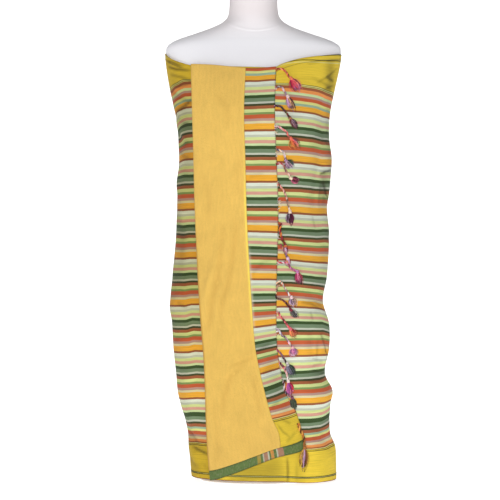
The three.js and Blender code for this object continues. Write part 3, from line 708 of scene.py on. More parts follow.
def stripe_ramp(finish, place, start, stripes, over_and_over=False):
    """Stripes side by side from v = start, once or over and over."""
    share = finish.math("DIVIDE", finish.math("SUBTRACT", place, start * MM), whole_width(stripes) * MM)
    if over_and_over:
        share = finish.math("FRACT", share)
    stops, at = [], 0.0
    for yarn, width in stripes:
        stops.append((at / whole_width(stripes), YARNS[yarn]))
        at += width
    return colour_steps(finish, share, stops)


def striped_cotton(name):
    finish = Finish(name, roughness=0.85, sheen=0.04, specular=0.12)
    weave = finish.weave()
    # the loom's stripes wander by a fraction of a millimetre
    wander = finish.noise(finish.stretched(weave, 30, 12), 1.0, detail=3)
    place = finish.math("ADD", finish.part(weave, "Y"), finish.range(wander, 0, 1, -0.0009, 0.0009))
    top = stripe_ramp(finish, place, 0, TOP_BORDER)
    middle = stripe_ramp(finish, place, REPEAT_START, REPEAT_STRIPES, over_and_over=True)
    bottom = stripe_ramp(finish, place, BOTTOM_START, BOTTOM_BORDER)
    base = finish.mix(finish.math("GREATER_THAN", place, whole_width(TOP_BORDER) * MM), top, middle)
    base = finish.mix(finish.math("GREATER_THAN", place, BOTTOM_START * MM), base, bottom)
    # single yarns run darker or paler for a hand's length
    streak = finish.noise(finish.stretched(weave, 14, 1500), 1.0, detail=4, roughness=0.6)
    base = finish.mottle(0.7, base, streak, 0.60, 1.26)
    # paler beside the lining; painted shade and light thrown back by the terry, as a darker, yellower tint
    # left of the fold; painted light low down; painted shade in the creases
    base = finish.mix(finish.painted("pale"), base, colour(226, 220, 196))
    base = finish.mix(finish.painted("terry_bounce_shade"), base, colour(228, 220, 196), blend="MULTIPLY")
    base = finish.mix(finish.painted("painted_light"), base, (1.5, 1.5, 1.5, 1.0), blend="MULTIPLY")
    base = finish.mix(finish.painted("painted_shade"), base, colour(44, 40, 24))
    base = finish.mottle(0.35, base, finish.noise(weave, 18, detail=3), 0.82, 1.12)
    # plain weave: warp and weft go over and under each other every 0.9 mm
    warp, weft = (finish.threads(weave, 350, 0.6, 2, across) for across in "YX")
    crumple = finish.noise(weave, 90, detail=4, roughness=0.6)
    height = finish.math("ADD", finish.math("MULTIPLY", warp, weft), finish.math("MULTIPLY", crumple, 2.2))
    return finish.finish(base, height, distance=0.0004, strength=0.7)


striped = striped_cotton("striped_cotton")
print("made", striped.name)

# %% [markdown]
# ## Terry, facing, jersey and yarn
#
# Terry is a towelling with small loops that stand up, so it is soft, matt and a little uneven. The facing is
# a strip of green kikoy turned across, so its stripes run across it. The form is covered in a fine white
# knitted jersey. The fringe could have one finish for each dye, but it has far too many dyes for that. It
# keeps them as an attribute instead, painted yarn by yarn when it is made.

# %% Terry cotton
def terry_cotton(name):
    finish = Finish(name, roughness=0.95, sheen=0.08, specular=0.05)
    weave = finish.weave()
    loops = finish.add("ShaderNodeTexVoronoi", {"Vector": finish.stretched(weave, 640, 540), "Scale": 1.0,
                                                "Randomness": 0.8}).outputs["Distance"]
    cloud = finish.noise(weave, 22, detail=4, roughness=0.6)
    rows = finish.noise(finish.stretched(weave, 200, 30), 1.0, detail=2)
    base = finish.mottle(0.6, colour(226, 185, 94), cloud, 0.90, 1.06)
    base = finish.mottle(0.5, base, rows, 0.92, 1.06)
    base = finish.mix(0.5, base, finish.range(loops, 0.0, 0.8, 1.08, 0.80), blend="MULTIPLY")
    # painted highlight: the turned edge catches the light
    base = finish.mix(finish.painted("edge"), base, colour(250, 226, 96))
    # painted shade in the folds and beside the bend
    base = finish.mix(finish.painted("painted_shade"), base, colour(150, 92, 30))
    nap = finish.noise(weave, 700, detail=2)
    height = finish.math("SUBTRACT", finish.math("MULTIPLY", nap, 0.5), loops)
    return finish.finish(base, height, distance=0.0008, strength=0.8)


terry = terry_cotton("terry_cotton")
print("made", terry.name)

# %% Green facing
FACING_LENGTH = 220   # of the strip that the chart of its stripes spans
FACING_GREEN = (92, 114, 64)
# distance from the fold in mm along the strip, and the colour from there on
FACING_STRIPES = [
    (0, FACING_GREEN), (114, (160, 138, 60)), (122, FACING_GREEN), (127, (182, 180, 156)),
    (129.5, (164, 122, 98)), (137.7, (184, 182, 160)), (141, FACING_GREEN), (145, (192, 134, 68)),
    (151.6, FACING_GREEN), (158, (182, 180, 156)), (161.4, (164, 122, 98)), (173.7, FACING_GREEN)]


def green_facing(name):
    finish = Finish(name, roughness=0.85, sheen=0.04, specular=0.12)
    weave = finish.weave()
    along = finish.math("DIVIDE", finish.part(weave, "X"), FACING_LENGTH * MM)
    base = colour_steps(finish, along, [(start / FACING_LENGTH, shade) for start, shade in FACING_STRIPES])
    streak = finish.noise(finish.stretched(weave, 1500, 14), 1.0, detail=4, roughness=0.6)
    base = finish.mottle(0.6, base, streak, 0.62, 1.28)
    base = finish.mottle(0.4, base, finish.noise(weave, 120, detail=3), 0.75, 1.15)
    fleck = finish.range(finish.noise(finish.stretched(weave, 420, 160), 1.0, detail=2), 0.5, 0.7, 0, 0.45)
    base = finish.mix(fleck, base, colour(140, 138, 112))
    # both long edges are turned under and lie in shade
    up = finish.part(weave, "Y")
    base = finish.mix(finish.range(up, 0, 0.0035, 0.55, 0), base, colour(48, 52, 30))
    base = finish.mix(finish.range(up, 0.0175, 0.0205, 0, 0.4), base, colour(48, 52, 30))
    return finish.finish(base, finish.noise(weave, 900, detail=2), distance=0.0004, strength=0.6)


facing_cotton = green_facing("green_facing")
print("made", facing_cotton.name)


# %% Jersey of the form
def white_jersey(name):
    finish = Finish(name, roughness=0.85, sheen=0.03, specular=0.12)
    place = finish.place()
    # the neck's cover, above 1 m, is a warmer white
    neck = finish.range(finish.part(place, "Z"), 1.0, 1.07, 0, 1)
    base = finish.mix(neck, colour(235, 234, 238), colour(228, 220, 221))
    base = finish.mottle(0.3, base, finish.noise(place, 9, detail=3), 0.97, 1.02)
    return finish.finish(base, finish.threads(place, 330, 0.5, 1, "Z"), distance=0.0002, strength=0.35)


jersey = white_jersey("form_jersey")
print("made", jersey.name)


# %% Fringe yarn
def fringe_yarn(name):
    finish = Finish(name, roughness=0.8, sheen=0.06, specular=0.15)
    dye = finish.add("ShaderNodeVertexColor", layer_name="yarn").outputs["Color"]
    fleck = finish.noise(finish.place(), 900, detail=3)
    base = finish.mottle(0.6, dye, fleck, 0.72, 1.2)
    return finish.finish(base, fleck, distance=0.0003, strength=0.6)


def sewing_thread(name):
    finish = Finish(name, roughness=0.6, sheen=0.1, specular=0.35)
    twist = finish.noise(finish.place(), 1500, detail=2)
    base = finish.mottle(0.5, colour(74, 66, 38), twist, 0.75, 1.15)
    return finish.finish(base, twist, distance=0.0002, strength=0.4)


yarn_finish = fringe_yarn("fringe_yarn")
dark_thread = sewing_thread("dark_thread")
print("made", yarn_finish.name, dark_thread.name)

# %% [markdown]
# ## The wrap
#
# One piece of cloth goes from the fold round the right side, the back and the left side, passes under the
# fold and ends as an underlap. It could be dropped on the form and left to settle, but its hem and its
# stripes wouldn't land where the photograph has them. So it is a fine grid on the measured sections. The
# lines of the grid lie closer where the photograph looks, and further apart at the back. The hem is a little
# thicker, because it is turned up and sewn.

# %% Wrap
WRAP_COLUMNS = spread([
    (BEND_RADIUS / ROUND_GIRTH + 0.0004, 0.13, 18), (0.13, 0.16, 8), (0.16, 0.42, 96), (0.42, 0.72, 42),
    (0.72, 0.87, 62), (0.87, 0.965, 16), (0.965, WRAP_TURNS, 28)])
WRAP_ROWS = 290


def wrap_rest(turns, around, z):
    """The distance round from the front middle, how far the cloth has dived under the fold, from 0 to 1,
    and how far it stands off the sections."""
    dive = ease(0.945, 0.985, turns)
    own = around - np.where(turns > 0.5, girth_at(z), 0)
    return own, dive, wrap_relief(own, z) * (1 - dive) - DIVE_DEPTH * dive


def wrap_grid(columns, rows, inner):
    turns, share = np.meshgrid(columns, rows)
    around, z = wrap_place(turns, share)
    own, dive, rest = wrap_rest(turns, around, z)
    # the hem is thickest 6 mm above its edge, where it is turned up
    puff = 0.5 * np.exp(-((z - z[:1] - 6) / 4.5) ** 2) * ease(0.12, 0.16, turns) * (1 - dive)
    return own, z, on_wrap(around, z, rest + puff - (WALL if inner else 0))


def wrap_cloth():
    shares = np.linspace(0, 1, WRAP_ROWS + 1)
    own, z, outer = wrap_grid(WRAP_COLUMNS, shares, inner=False)
    _, _, inner = wrap_grid(WRAP_COLUMNS[::2], shares[::2], inner=True)
    turns = WRAP_COLUMNS + fold_around(500) / girth_at(500)
    v = weave_place(WRAP_STRIPES, turns, z, top=z[-1], hem=z[0])
    u = np.broadcast_to(WRAP_COLUMNS * ROUND_GIRTH, v.shape)
    piece = cloth("kikoy_wrap_cloth", outer, inner, np.stack([u, v], axis=-1), [striped, terry])
    # painted shade in the creases, along the drawn lines and down the sides
    paint(piece, "painted_shade", wrap_shade(own, z))
    # painted light and shade: left of the fold, a darker, yellower tint for shade and light thrown back by
    # the terry; lower down, and on the hem on the right, painted light
    left = ease(fold_around(z) + 5, fold_around(z) - 5, own)
    above_hem = ease(96, 122, z)
    paint(piece, "terry_bounce_shade", left * ease(-430, -270, own) * (1 - 0.8 * ease(460, 60, z) * above_hem))
    hem_light = 0.4 * (1 - above_hem) * ease(80, 100, own) * ease(260, 200, own)
    paint(piece, "painted_light", (0.48 - 0.1 * left) * ease(480, 280, z) * above_hem + hem_light)
    return piece


wrap = wrap_cloth()
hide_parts("kikoy_outer_wrap", "kikoy_underlap")
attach(wrap, "root")
print("wrap faces:", len(wrap.data.polygons))

# %% [markdown]
# ## The turned-back flap
#
# At the fold the same cloth turns back and lies wrong side out over the front. It could be one mesh with the
# wrap, but its stripes run at other heights and it has other edges. So it is a grid of its own that starts at
# the fold. It bends in a tight half circle, runs under the lining and ends in the fringe, and its edges come
# from tables like the wrap's.

# %% Flap
BEND_COLUMNS = 10
# columns of the grid in the bend, from there to the lining's edge, and on to the fringed end
FLAP_PARTS = (BEND_COLUMNS, 50, 40)
FLAP_ROWS = 320


def flap_place(columns, heights, bend, lining_part, end_part):
    """Tape distance and height of the flap's grid. Columns count through the bend, the lining and the end."""
    column, share = np.meshgrid(columns, heights)

    def spot(z):
        start, lining, end = fold_around(z) + BEND_RADIUS, lining_around(z), end_around(z)
        past = column - bend - lining_part
        return np.where(past > 0, lining + (end - lining) * past / end_part,
                        start + (lining - start) * np.clip(1 + past / lining_part, 0, 1))

    hem_x = on_wrap(spot(FLAP_HEM), FLAP_HEM)[..., 0]
    top_x = on_wrap(spot(EDGE_TOP), EDGE_TOP)[..., 0]
    low = rows_at(FLAP_HEIGHTS, hem_x.ravel())[:, 2].reshape(column.shape)
    high = rows_at(FLAP_HEIGHTS, top_x.ravel())[:, 1].reshape(column.shape)
    z = low + (high - low) * share
    return column, spot(z), z


def flap_points(columns, shares, parts, radius, extra=0.0, relief=None):
    """Points of a layer that bends round the fold at a radius and lies on the front."""
    column, around, z = flap_place(columns, shares, *parts)
    turn = np.radians(-90 + 180 * np.minimum(column / parts[0], 1))
    around = around - radius * np.cos(turn)
    lift = LAYER_GAP / 2 + radius * np.sin(turn) + flap_relief(around, z) + extra
    if relief is not None:
        lift = lift + relief(around, z) * np.clip(np.sin(turn), 0, 1)
    return around, z, on_wrap(around, z, lift)


def on_wrap_shift(points, around, z, lift):
    """Moves points along the wrap's outward direction."""
    direction = on_wrap(around, z, 1.0) - on_wrap(around, z, 0.0)
    return points + direction * lift[..., None]


def flap_cloth():
    columns = np.arange(sum(FLAP_PARTS) + 1)
    shares = np.linspace(0, 1, FLAP_ROWS + 1)
    around, z, outer = flap_points(columns, shares, FLAP_PARTS, BEND_RADIUS)
    outer = on_wrap_shift(outer, around, z, flap_lines(around, z))
    _, _, inner = flap_points(columns[::2], shares[::2], FLAP_PARTS, BEND_RADIUS - FLAP_WALL)
    mid_row_x = on_wrap(around, z)[FLAP_ROWS // 2, :, 0]
    v = weave_place(FLAP_STRIPES, mid_row_x, z, top=z[-1], hem=z[0])
    weave = np.stack([around - around.min(), v], axis=-1)
    piece = cloth("kikoy_flap_cloth", outer, inner, weave, [striped])
    # painted shade along the drawn wrinkles, and broadly over the fringed end low down
    paint(piece, "painted_shade", np.clip(flap_lines(around, z, "shade"), 0, 0.7))
    # a strip beside the lining's edge is made paler, between heights of 320 and 560 mm
    beside = np.clip(around - lining_around(z), 0, None)
    paint(piece, "pale", 0.45 * np.exp(-(beside / 3.6) ** 2) * ease(320, 380, z) * ease(560, 500, z))
    return piece


flap = flap_cloth()
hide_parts("kikoy_turned_back_flap")
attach(flap, "root")
print("flap faces:", len(flap.data.polygons))

# %% [markdown]
# ## The terry lining
#
# The towelling is sewn to the wrong side of the kikoy. On the flap it shows from the fold to its own hemmed
# edge. It is thicker and softer than the kikoy, so its folds are wide and low. Its edge is turned under,
# which makes a narrow rounded welt. Its pile could be grown as hair, loop by loop, but from here a loop is
# smaller than a pixel. So the grid is roughened by a random height, and the finish adds the loops.

# %% Terry lining
TERRY_RADIUS = BEND_RADIUS + SEAM_GAP
TERRY_PARTS = (BEND_COLUMNS, 70, 40)
TERRY_ROWS = 420
PILE = 0.16           # how far a loop stands out or sinks in
# soft diagonal folds of the lining, by the distance right of the middle
TERRY_FOLDS = [
    (-38, 420, 11, 90, 7, -1.1), (-50, 380, 16, 90, 6, 0.9), (-58, 470, 10, 90, 7, -0.9),
    (-70, 360, 14, 90, 7, -1.0), (-20, 330, 14, 80, 6, -0.9), (-30, 240, -24, 60, 7, -0.8),
    (8, 200, -20, 60, 7, 0.8), (-60, 180, 10, 80, 8, -0.8), (-90, 640, 4, 90, 8, 0.9),
    (-66, 700, 4, 90, 9, -0.8), (-100, 820, 6, 60, 8, -0.7), (-45, 860, 10, 50, 9, 0.7),
    (-35, 560, 6, 70, 8, 0.6)]

TERRY_LINES = [
    ([(-75, 474), (-93, 403), (-102, 349)], 7, -1.6, 0.17),
    ([(-38, 600), (-46, 520), (-60, 440), (-74, 360)], 7, -1.6, 0.16),
    ([(-68, 590), (-73, 508), (-84, 440)], 7, -1.3, 0.12),
    ([(-10, 282), (-50, 247), (-66, 198), (-68, 144)], 7, -1.5, 0.16),
    ([(8, 292), (-24, 280), (-54, 268)], 5, -1.2, 0.13),
    ([(-110, 700), (-98, 640), (-100, 590)], 8, -1.0, 0.09),
    ([(-84, 880), (-60, 850), (-52, 800)], 8, -0.9, 0.08),
    ([(-86, 200), (-80, 120), (-84, 40)], 7, -1.0, 0.09), ([(20, 150), (6, 200), (2, 250)], 6, -1.0, 0.11),
    ([(-30, 760), (-36, 700), (-28, 640)], 9, -0.8, 0.07)]


def terry_relief(around, z):
    edge = lining_around(z) - around
    # the turned-under edge is a round welt, with the seam as a groove beside it
    welt = 0.5 * np.exp(-((edge - 4) / 3.0) ** 2) - 0.5 * np.exp(-((edge - 9.5) / 1.6) ** 2)
    folds = fold_relief(TERRY_FOLDS, around, z) + line_relief(TERRY_LINES, around, z)
    return folds * ease(0, 18, edge) + welt


def terry_cloth():
    columns = np.arange(TERRY_PARTS[0] + TERRY_PARTS[1] + 1)
    _, _, z = flap_place(columns, np.array([0.0, 1.0]), *TERRY_PARTS)
    # it starts above the facing
    share_low = (FACING_HEIGHT + SEAM_GAP) / (z[-1] - z[0]).mean()
    shares = share_low + (1 - share_low) * np.linspace(0, 1, TERRY_ROWS + 1)
    around, z, outer = flap_points(
        columns, shares, TERRY_PARTS, TERRY_RADIUS + TERRY_WALL, relief=terry_relief)
    outer = on_wrap_shift(outer, around, z, np.random.default_rng(3).uniform(-PILE, PILE, z.shape))
    _, _, inner = flap_points(columns[::2], shares[::2], TERRY_PARTS, TERRY_RADIUS)
    weave = np.stack([around - around.min(), z], axis=-1)
    piece = cloth("terry_lining_cloth", outer, inner, weave, [terry])
    edge = lining_around(z) - around
    # painted highlight along the turned edge, strongest at mid height
    lit = 0.12 + 0.6 * ease(740, 620, z) * ease(330, 400, z)
    paint(piece, "edge", lit * np.exp(-((edge - 2.2) / 2.6) ** 2))
    # painted shade along the fold, stronger low down
    folded = np.exp(-((around - fold_around(z)) / 2.2) ** 2) * (0.15 + 0.35 * ease(620, 480, z))
    paint(piece, "painted_shade", np.clip(line_relief(TERRY_LINES, around, z, "shade") + folded, 0, 0.5))
    return piece


lining = terry_cloth()
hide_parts("terry_lining")
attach(lining, "root")
print("lining faces:", len(lining.data.polygons))

# %% [markdown]
# ## The hem facing
#
# A narrow strip of green kikoy is sewn along the bottom of the flap. It covers the raw edge of the lining,
# from the fold to the fringed end. It could be painted on the flap, but the real strip stands up from it and
# is rounded by what it covers. So it is a small cloth of the same kind, highest along its middle.

# %% Hem facing
FACING_ROWS = 16
FACING_RISE = 2.5     # how much taller the strip is at the fringed end


def facing_cloth():
    columns = np.arange(sum(FLAP_PARTS) + 1)
    _, _, z = flap_place(columns, np.array([0.0, 1.0]), *FLAP_PARTS)
    low, tall = z[0], z[1] - z[0]
    outer, inner, weave = [], [], []
    for r in range(FACING_ROWS + 1):
        share = np.array([FACING_HEIGHT * r / FACING_ROWS / tall.mean()])
        swell = 0.5 * math.sin(math.pi * r / FACING_ROWS) ** 0.5
        rise = FACING_RISE * r / FACING_ROWS * ease(BEND_COLUMNS + 54, columns[-1], columns)
        up = rise[:, None] * (0, 0, 1)
        around, height, points = flap_points(
            columns, share, FLAP_PARTS, TERRY_RADIUS + FACING_WALL, extra=swell)
        outer.append(points[0] + up)
        weave.append(np.stack([around[0] - around[0].min(), height[0] - low + rise], axis=-1))
        if r % 2 == 0:
            _, _, under = flap_points(columns[::2], share, FLAP_PARTS, TERRY_RADIUS)
            inner.append(under[0] + up[::2])
    return cloth("hem_facing_cloth", np.array(outer), np.array(inner), np.array(weave), [facing_cotton])


facing = facing_cloth()
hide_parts("hem_facing")
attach(facing, "root")
print("facing faces:", len(facing.data.polygons))

# %% [markdown]
# ## The fringe
#
# The ends of the warp are gathered in bunches, twisted into cords of two plies, and knotted, and below each
# knot the yarns hang free as a tuft. A twisted cord is two helices round one path. Each ply is a tube swept
# along its helix. The tuft is many thin strands that start in the knot, swell like a drop and come together
# again at the tip. Curves with a bevel could make them too, but each strand has its own dye and swell, so it
# is simpler to work out its tube. The yarns have the colours of the stripes that they grew from.

# %% Tassel shapes
# the cord's points (right of the middle, height), the tuft's tip and width, extra lift, thickness
TASSELS = [
    ([(52, 933), (61, 934), (70, 929), (75, 922), (78, 916), (83, 912)], (101, 886), 20, 0, 1),
    ([(49, 888), (55, 892), (61, 892), (66, 886), (69, 880), (73, 874), (75, 870)], (88, 842), 14, 0, 1),
    ([(47, 849), (55, 848), (61, 846), (67, 839), (72, 833), (76, 827), (80, 821)], (95, 801), 13, 0, 1),
    ([(52, 804), (57, 801), (64, 796), (72, 791), (76, 782), (82, 776)], (96, 756), 18, 0, 1),
    ([(51, 751), (57, 750), (65, 746), (68, 739), (70, 731), (71, 727)], (84, 713), 17, 0, 1),
    ([(50, 718), (57, 721), (64, 719), (68, 712), (72, 703), (80, 692), (82, 688)], (99, 681), 14, 0, 1),
    ([(55, 676), (59, 670), (67, 659), (71, 649), (74, 640), (77, 625), (80, 613)], (81, 588), 17, 0, 0.9),
    ([(60, 587), (58, 577), (59, 565), (62, 554), (67, 544), (70, 537)], (72, 522), 9, 0, 1.3),
    ([(59, 540), (65, 531), (70, 521), (75, 509)], (78, 494), 10, 0, 1.1),
    ([(55, 500), (67, 500), (74, 499), (81, 489), (88, 484), (96, 480)], (103, 453), 14, 0, 1),
    ([(52, 434), (51, 446), (53, 456), (59, 458), (63, 453), (67, 446), (72, 438), (78, 428), (83, 422)],
     (90, 404), 15, 0, 0.9),
    ([(49, 424), (53, 419), (60, 418), (67, 414), (72, 409), (77, 402), (82, 394)], (96, 379), 10, 0, 0.9),
    ([(55, 389), (59, 380), (64, 374), (70, 367), (75, 359), (81, 352)], (92, 335), 14, 0, 1),
    ([(56, 350), (63, 337), (69, 334), (75, 326), (80, 318), (86, 310)], (90, 291), 15, 0, 1),
    ([(52, 305), (57, 300), (62, 294), (67, 285), (71, 278), (75, 273)], (88, 249), 16, 0, 1),
    ([(58, 276), (65, 268), (69, 260), (73, 252), (76, 235)], (80, 206), 21, 0, 1),
    ([(66, 236), (70, 212), (77, 204), (85, 198)], (91, 174), 14, 0, 0.9),
    ([(97, 140), (101, 127), (107, 115), (110, 102), (111, 86)], (109, 44), 18, 3.4, 1.3)]
# dyes along the cord's two plies, then the tuft's dyes: left, middle, right and tip
TASSEL_YARNS = [
    [[(190, 60, 45), (232, 140, 96)], [(235, 170, 120), (214, 84, 60)],
     (232, 128, 108), (222, 88, 96), (200, 40, 80), (190, 120, 170)],
    [[(230, 150, 160), (236, 214, 190)], [(230, 220, 205), (190, 150, 190)],
     (90, 50, 55), (236, 176, 130), (196, 150, 190), (80, 50, 60)],
    [[(70, 30, 60), (120, 40, 50)], [(200, 150, 175), (60, 76, 50), (190, 150, 100)],
     (70, 25, 35), (170, 140, 160), (120, 70, 60), (90, 50, 60)],
    [[(235, 220, 220), (230, 110, 90)], [(225, 150, 160), (226, 96, 80)],
     (230, 140, 150), (230, 95, 75), (240, 150, 70), (240, 150, 70)],
    [[(50, 50, 90), (230, 215, 205), (190, 160, 190)], [(236, 180, 130), (225, 210, 205), (90, 30, 50)],
     (60, 80, 50), (200, 160, 180), (205, 160, 185), (100, 120, 150)],
    [[(200, 50, 50), (235, 210, 180)], [(230, 150, 160), (225, 200, 180)],
     (96, 30, 45), (130, 40, 60), (205, 100, 130), (205, 110, 140)],
    [[(230, 140, 140), (235, 215, 190)], [(235, 150, 110), (230, 190, 170)],
     (110, 20, 60), (60, 25, 40), (150, 130, 150), (110, 60, 90)],
    [[(120, 25, 45), (150, 50, 60)], [(226, 120, 50), (235, 150, 80)],
     (120, 40, 70), (200, 170, 190), (210, 150, 110), (200, 150, 170)],
    [[(150, 50, 70), (200, 150, 190)], [(230, 140, 70), (225, 210, 220)],
     (170, 60, 70), (210, 180, 210), (226, 140, 70), (180, 110, 140)],
    [[(205, 50, 60), (190, 150, 190)], [(232, 220, 215), (190, 50, 130)],
     (190, 70, 90), (225, 140, 170), (190, 70, 110), (90, 40, 60)],
    [[(236, 220, 180), (235, 225, 220)], [(238, 180, 130), (230, 150, 170)],
     (238, 190, 150), (236, 190, 195), (196, 160, 195), (225, 200, 215)],
    [[(70, 30, 60), (120, 40, 50)], [(110, 100, 60), (150, 60, 80)],
     (210, 205, 200), (90, 85, 85), (100, 95, 95), (70, 66, 70)],
    [[(230, 90, 80), (225, 120, 140)], [(230, 150, 150), (226, 80, 70)],
     (150, 40, 45), (230, 120, 80), (235, 140, 90), (236, 150, 100)],
    [[(230, 225, 220), (225, 140, 170)], [(190, 150, 190), (238, 220, 190)],
     (170, 110, 160), (230, 130, 170), (215, 140, 180), (235, 210, 220)],
    [[(130, 35, 55), (230, 220, 220)], [(225, 150, 170), (50, 70, 50)],
     (50, 70, 50), (100, 100, 110), (160, 150, 175), (80, 90, 90)],
    [[(205, 40, 50), (235, 210, 200)], [(230, 150, 160), (236, 225, 215)],
     (215, 50, 60), (190, 90, 170), (236, 140, 70), (230, 150, 170)],
    [[(90, 25, 45), (110, 40, 60)], [(225, 220, 215), (150, 110, 130)],
     (70, 80, 60), (84, 92, 72), (60, 70, 56), (96, 100, 84)],
    [[(226, 130, 50), (150, 95, 50)], [(236, 170, 80), (190, 130, 60)],
     (150, 95, 50), (190, 150, 180), (205, 160, 70), (80, 50, 35)]]
CORD_RADIUS = 2.7
PLY_RADIUS = 1.45
TWIST_LENGTH = 11     # of cord for one turn of its plies
FLECK_LENGTH = 3.5    # of ply between one fleck of dye and the next
KNOT_RADIUS = 4.4
TASSEL_LIFT = 0.3     # clear of the cloth below
STRANDS = 84
WISPS = 9             # thin ends that stray from a tuft
STRAND_POINTS = 10
DARKEST_DYE, PALEST_DYE = 8, 250


def on_front(x, z, lift):
    """Points on the front of the wrap by their distance right of the middle."""
    around = around_at_x(x, z)
    return on_wrap(around, z, lift + np.maximum(wrap_relief(around, z, fine=False), 0))


def smooth_path(points, count):
    """A smooth curve through a few points, read at even steps."""
    points = np.asarray(points, float)
    ends = np.concatenate([[2 * points[0] - points[1]], points, [2 * points[-1] - points[-2]]])
    out = []
    for s in np.linspace(0, len(points) - 1, count):
        i = min(int(s), len(points) - 2)
        t = s - i
        a, b, c, d = ends[i:i + 4]
        out.append(0.5 * (2 * b + (c - a) * t + (2 * a - 5 * b + 4 * c - d) * t * t
                          + (3 * b - a - 3 * c + d) * t ** 3))
    return np.array(out)


def tube(path, radii, sides):
    """Points and faces of a closed tube along a path."""
    along = np.gradient(path, axis=0)
    along /= np.linalg.norm(along, axis=1)[:, None] + 1e-12
    first = np.cross(along, (0.0, 1.0, 0.0))
    weak = np.linalg.norm(first, axis=1) < 0.1
    first[weak] = np.cross(along[weak], (1.0, 0.0, 0.0))
    first /= np.linalg.norm(first, axis=1)[:, None]
    second = np.cross(along, first)
    angles = np.linspace(0, 2 * math.pi, sides, endpoint=False)
    radii = np.broadcast_to(radii, (len(path),))[:, None, None]
    rings = path[:, None] + radii * (np.cos(angles)[None, :, None] * first[:, None]
                                     + np.sin(angles)[None, :, None] * second[:, None])
    return rings.reshape(-1, 3), ring_faces(len(path), sides)


print("tassels:", len(TASSELS))


# %% Make the tassels
class YarnBundle:
    """Gathers the tubes of one tassel, with a dye for each point."""

    def __init__(self):
        self.points, self.faces, self.dyes, self.count = [], [], [], 0

    def add(self, path, radii, sides, dyes):
        """dyes are chart colours, spread evenly along the path."""
        points, faces = tube(path, radii, sides)
        self.faces.extend([[k + self.count for k in face] for face in faces])
        self.points.append(points)
        chart = np.array([colour(*dye) for dye in dyes])
        at = np.linspace(0, len(dyes) - 1, len(path))
        rings = np.stack([np.interp(at, np.arange(len(dyes)), chart[:, c]) for c in range(4)], axis=-1)
        self.dyes.append(np.repeat(rings, sides, axis=0))
        self.count += len(points)

    def make(self, name):
        piece = new_object(name, np.concatenate(self.points), self.faces, [yarn_finish])
        layer = piece.data.color_attributes.new("yarn", "FLOAT_COLOR", "POINT")
        layer.data.foreach_set("color", np.concatenate(self.dyes).astype(np.float32).ravel())
        return piece


def helix(path, radius, turns, phase):
    """A ply that winds round a path."""
    along = np.gradient(path, axis=0)
    along /= np.linalg.norm(along, axis=1)[:, None]
    side = np.cross(along, (0.0, 1.0, 0.0))
    side /= np.linalg.norm(side, axis=1)[:, None]
    other = np.cross(along, side)
    angle = np.linspace(0, 2 * math.pi * turns, len(path)) + phase
    return path + radius * (np.cos(angle)[:, None] * side + np.sin(angle)[:, None] * other)


def tuft(bundle, knot, tip, width, over, dyes, random):
    """Strands that start in the knot, swell like a drop and come together again at the tip."""
    reach = np.array(tip, float) - knot
    aside = np.array([-reach[1], reach[0]]) / np.linalg.norm(reach)
    t = np.linspace(0, 1, STRAND_POINTS)
    spots, lifts, kinds = [], [], []
    for n in range(STRANDS + WISPS):
        wisp = n >= STRANDS
        side = random.uniform(-1, 1) * (1.5 if wisp else 1)
        high = 0.15 if wisp else random.uniform(0, 1) ** 0.6 * math.sqrt(1 - side * side)
        run = t * random.uniform(0.62, 1.08) * (1.2 if wisp else 1 - 0.14 * side * side)
        swell = np.where(run < 0.55, 1 - (1 - run / 0.55) ** 2, 1 - 0.5 * ((run - 0.55) / 0.6) ** 2)
        wave = np.sin(t * random.uniform(3, 11) + random.uniform(0, 6)) * random.uniform(0.3, 1.5) * t
        spots.append(knot + run[:, None] * reach - aside * (side * width / 2 * swell + wave)[:, None])
        dome = 0.7 + 7.0 * high * np.sqrt(np.clip(swell, 0.05, 1)) * np.clip(1.25 - 0.75 * run, 0.3, 1)
        lifts.append(TASSEL_LIFT + over + KNOT_RADIUS * (1 - ease(0, 0.3, t)) + dome * ease(0, 0.3, t))
        # the dye goes by the side that the strand lies on, and the tips are dyed apart
        pick = side + random.normal(0, 0.3)
        own = dyes[0] if pick < -0.3 else dyes[2] if pick > 0.35 else dyes[1]
        end = dyes[3] if random.uniform() < 0.6 else own
        tone = random.choice([0.5, 0.8, 1.0, 1.1])
        own, end = (np.clip(np.array(dye) * tone, DARKEST_DYE, PALEST_DYE) for dye in (own, end))
        kinds.append(((0.5, 0.35) if wisp else (0.85, 0.45), [own, own, own, end]))
    spots = np.array(spots)
    strands = on_front(spots[..., 0], spots[..., 1], np.array(lifts))
    for strand, (radii, shades) in zip(strands, kinds):
        bundle.add(strand, np.linspace(*radii, STRAND_POINTS), 5, shades)


def flecked(dyes, count, random):
    """Dyes read at even places along a ply, some of them darker."""
    out = []
    for at in np.linspace(0, len(dyes) - 1, count):
        low = min(int(at), len(dyes) - 2)
        dye = np.array(dyes[low]) * (1 - at + low) + np.array(dyes[low + 1]) * (at - low)
        out.append(np.clip(dye * random.choice([1.12, 1.0, 0.8, 0.45]), DARKEST_DYE, PALEST_DYE))
    return out


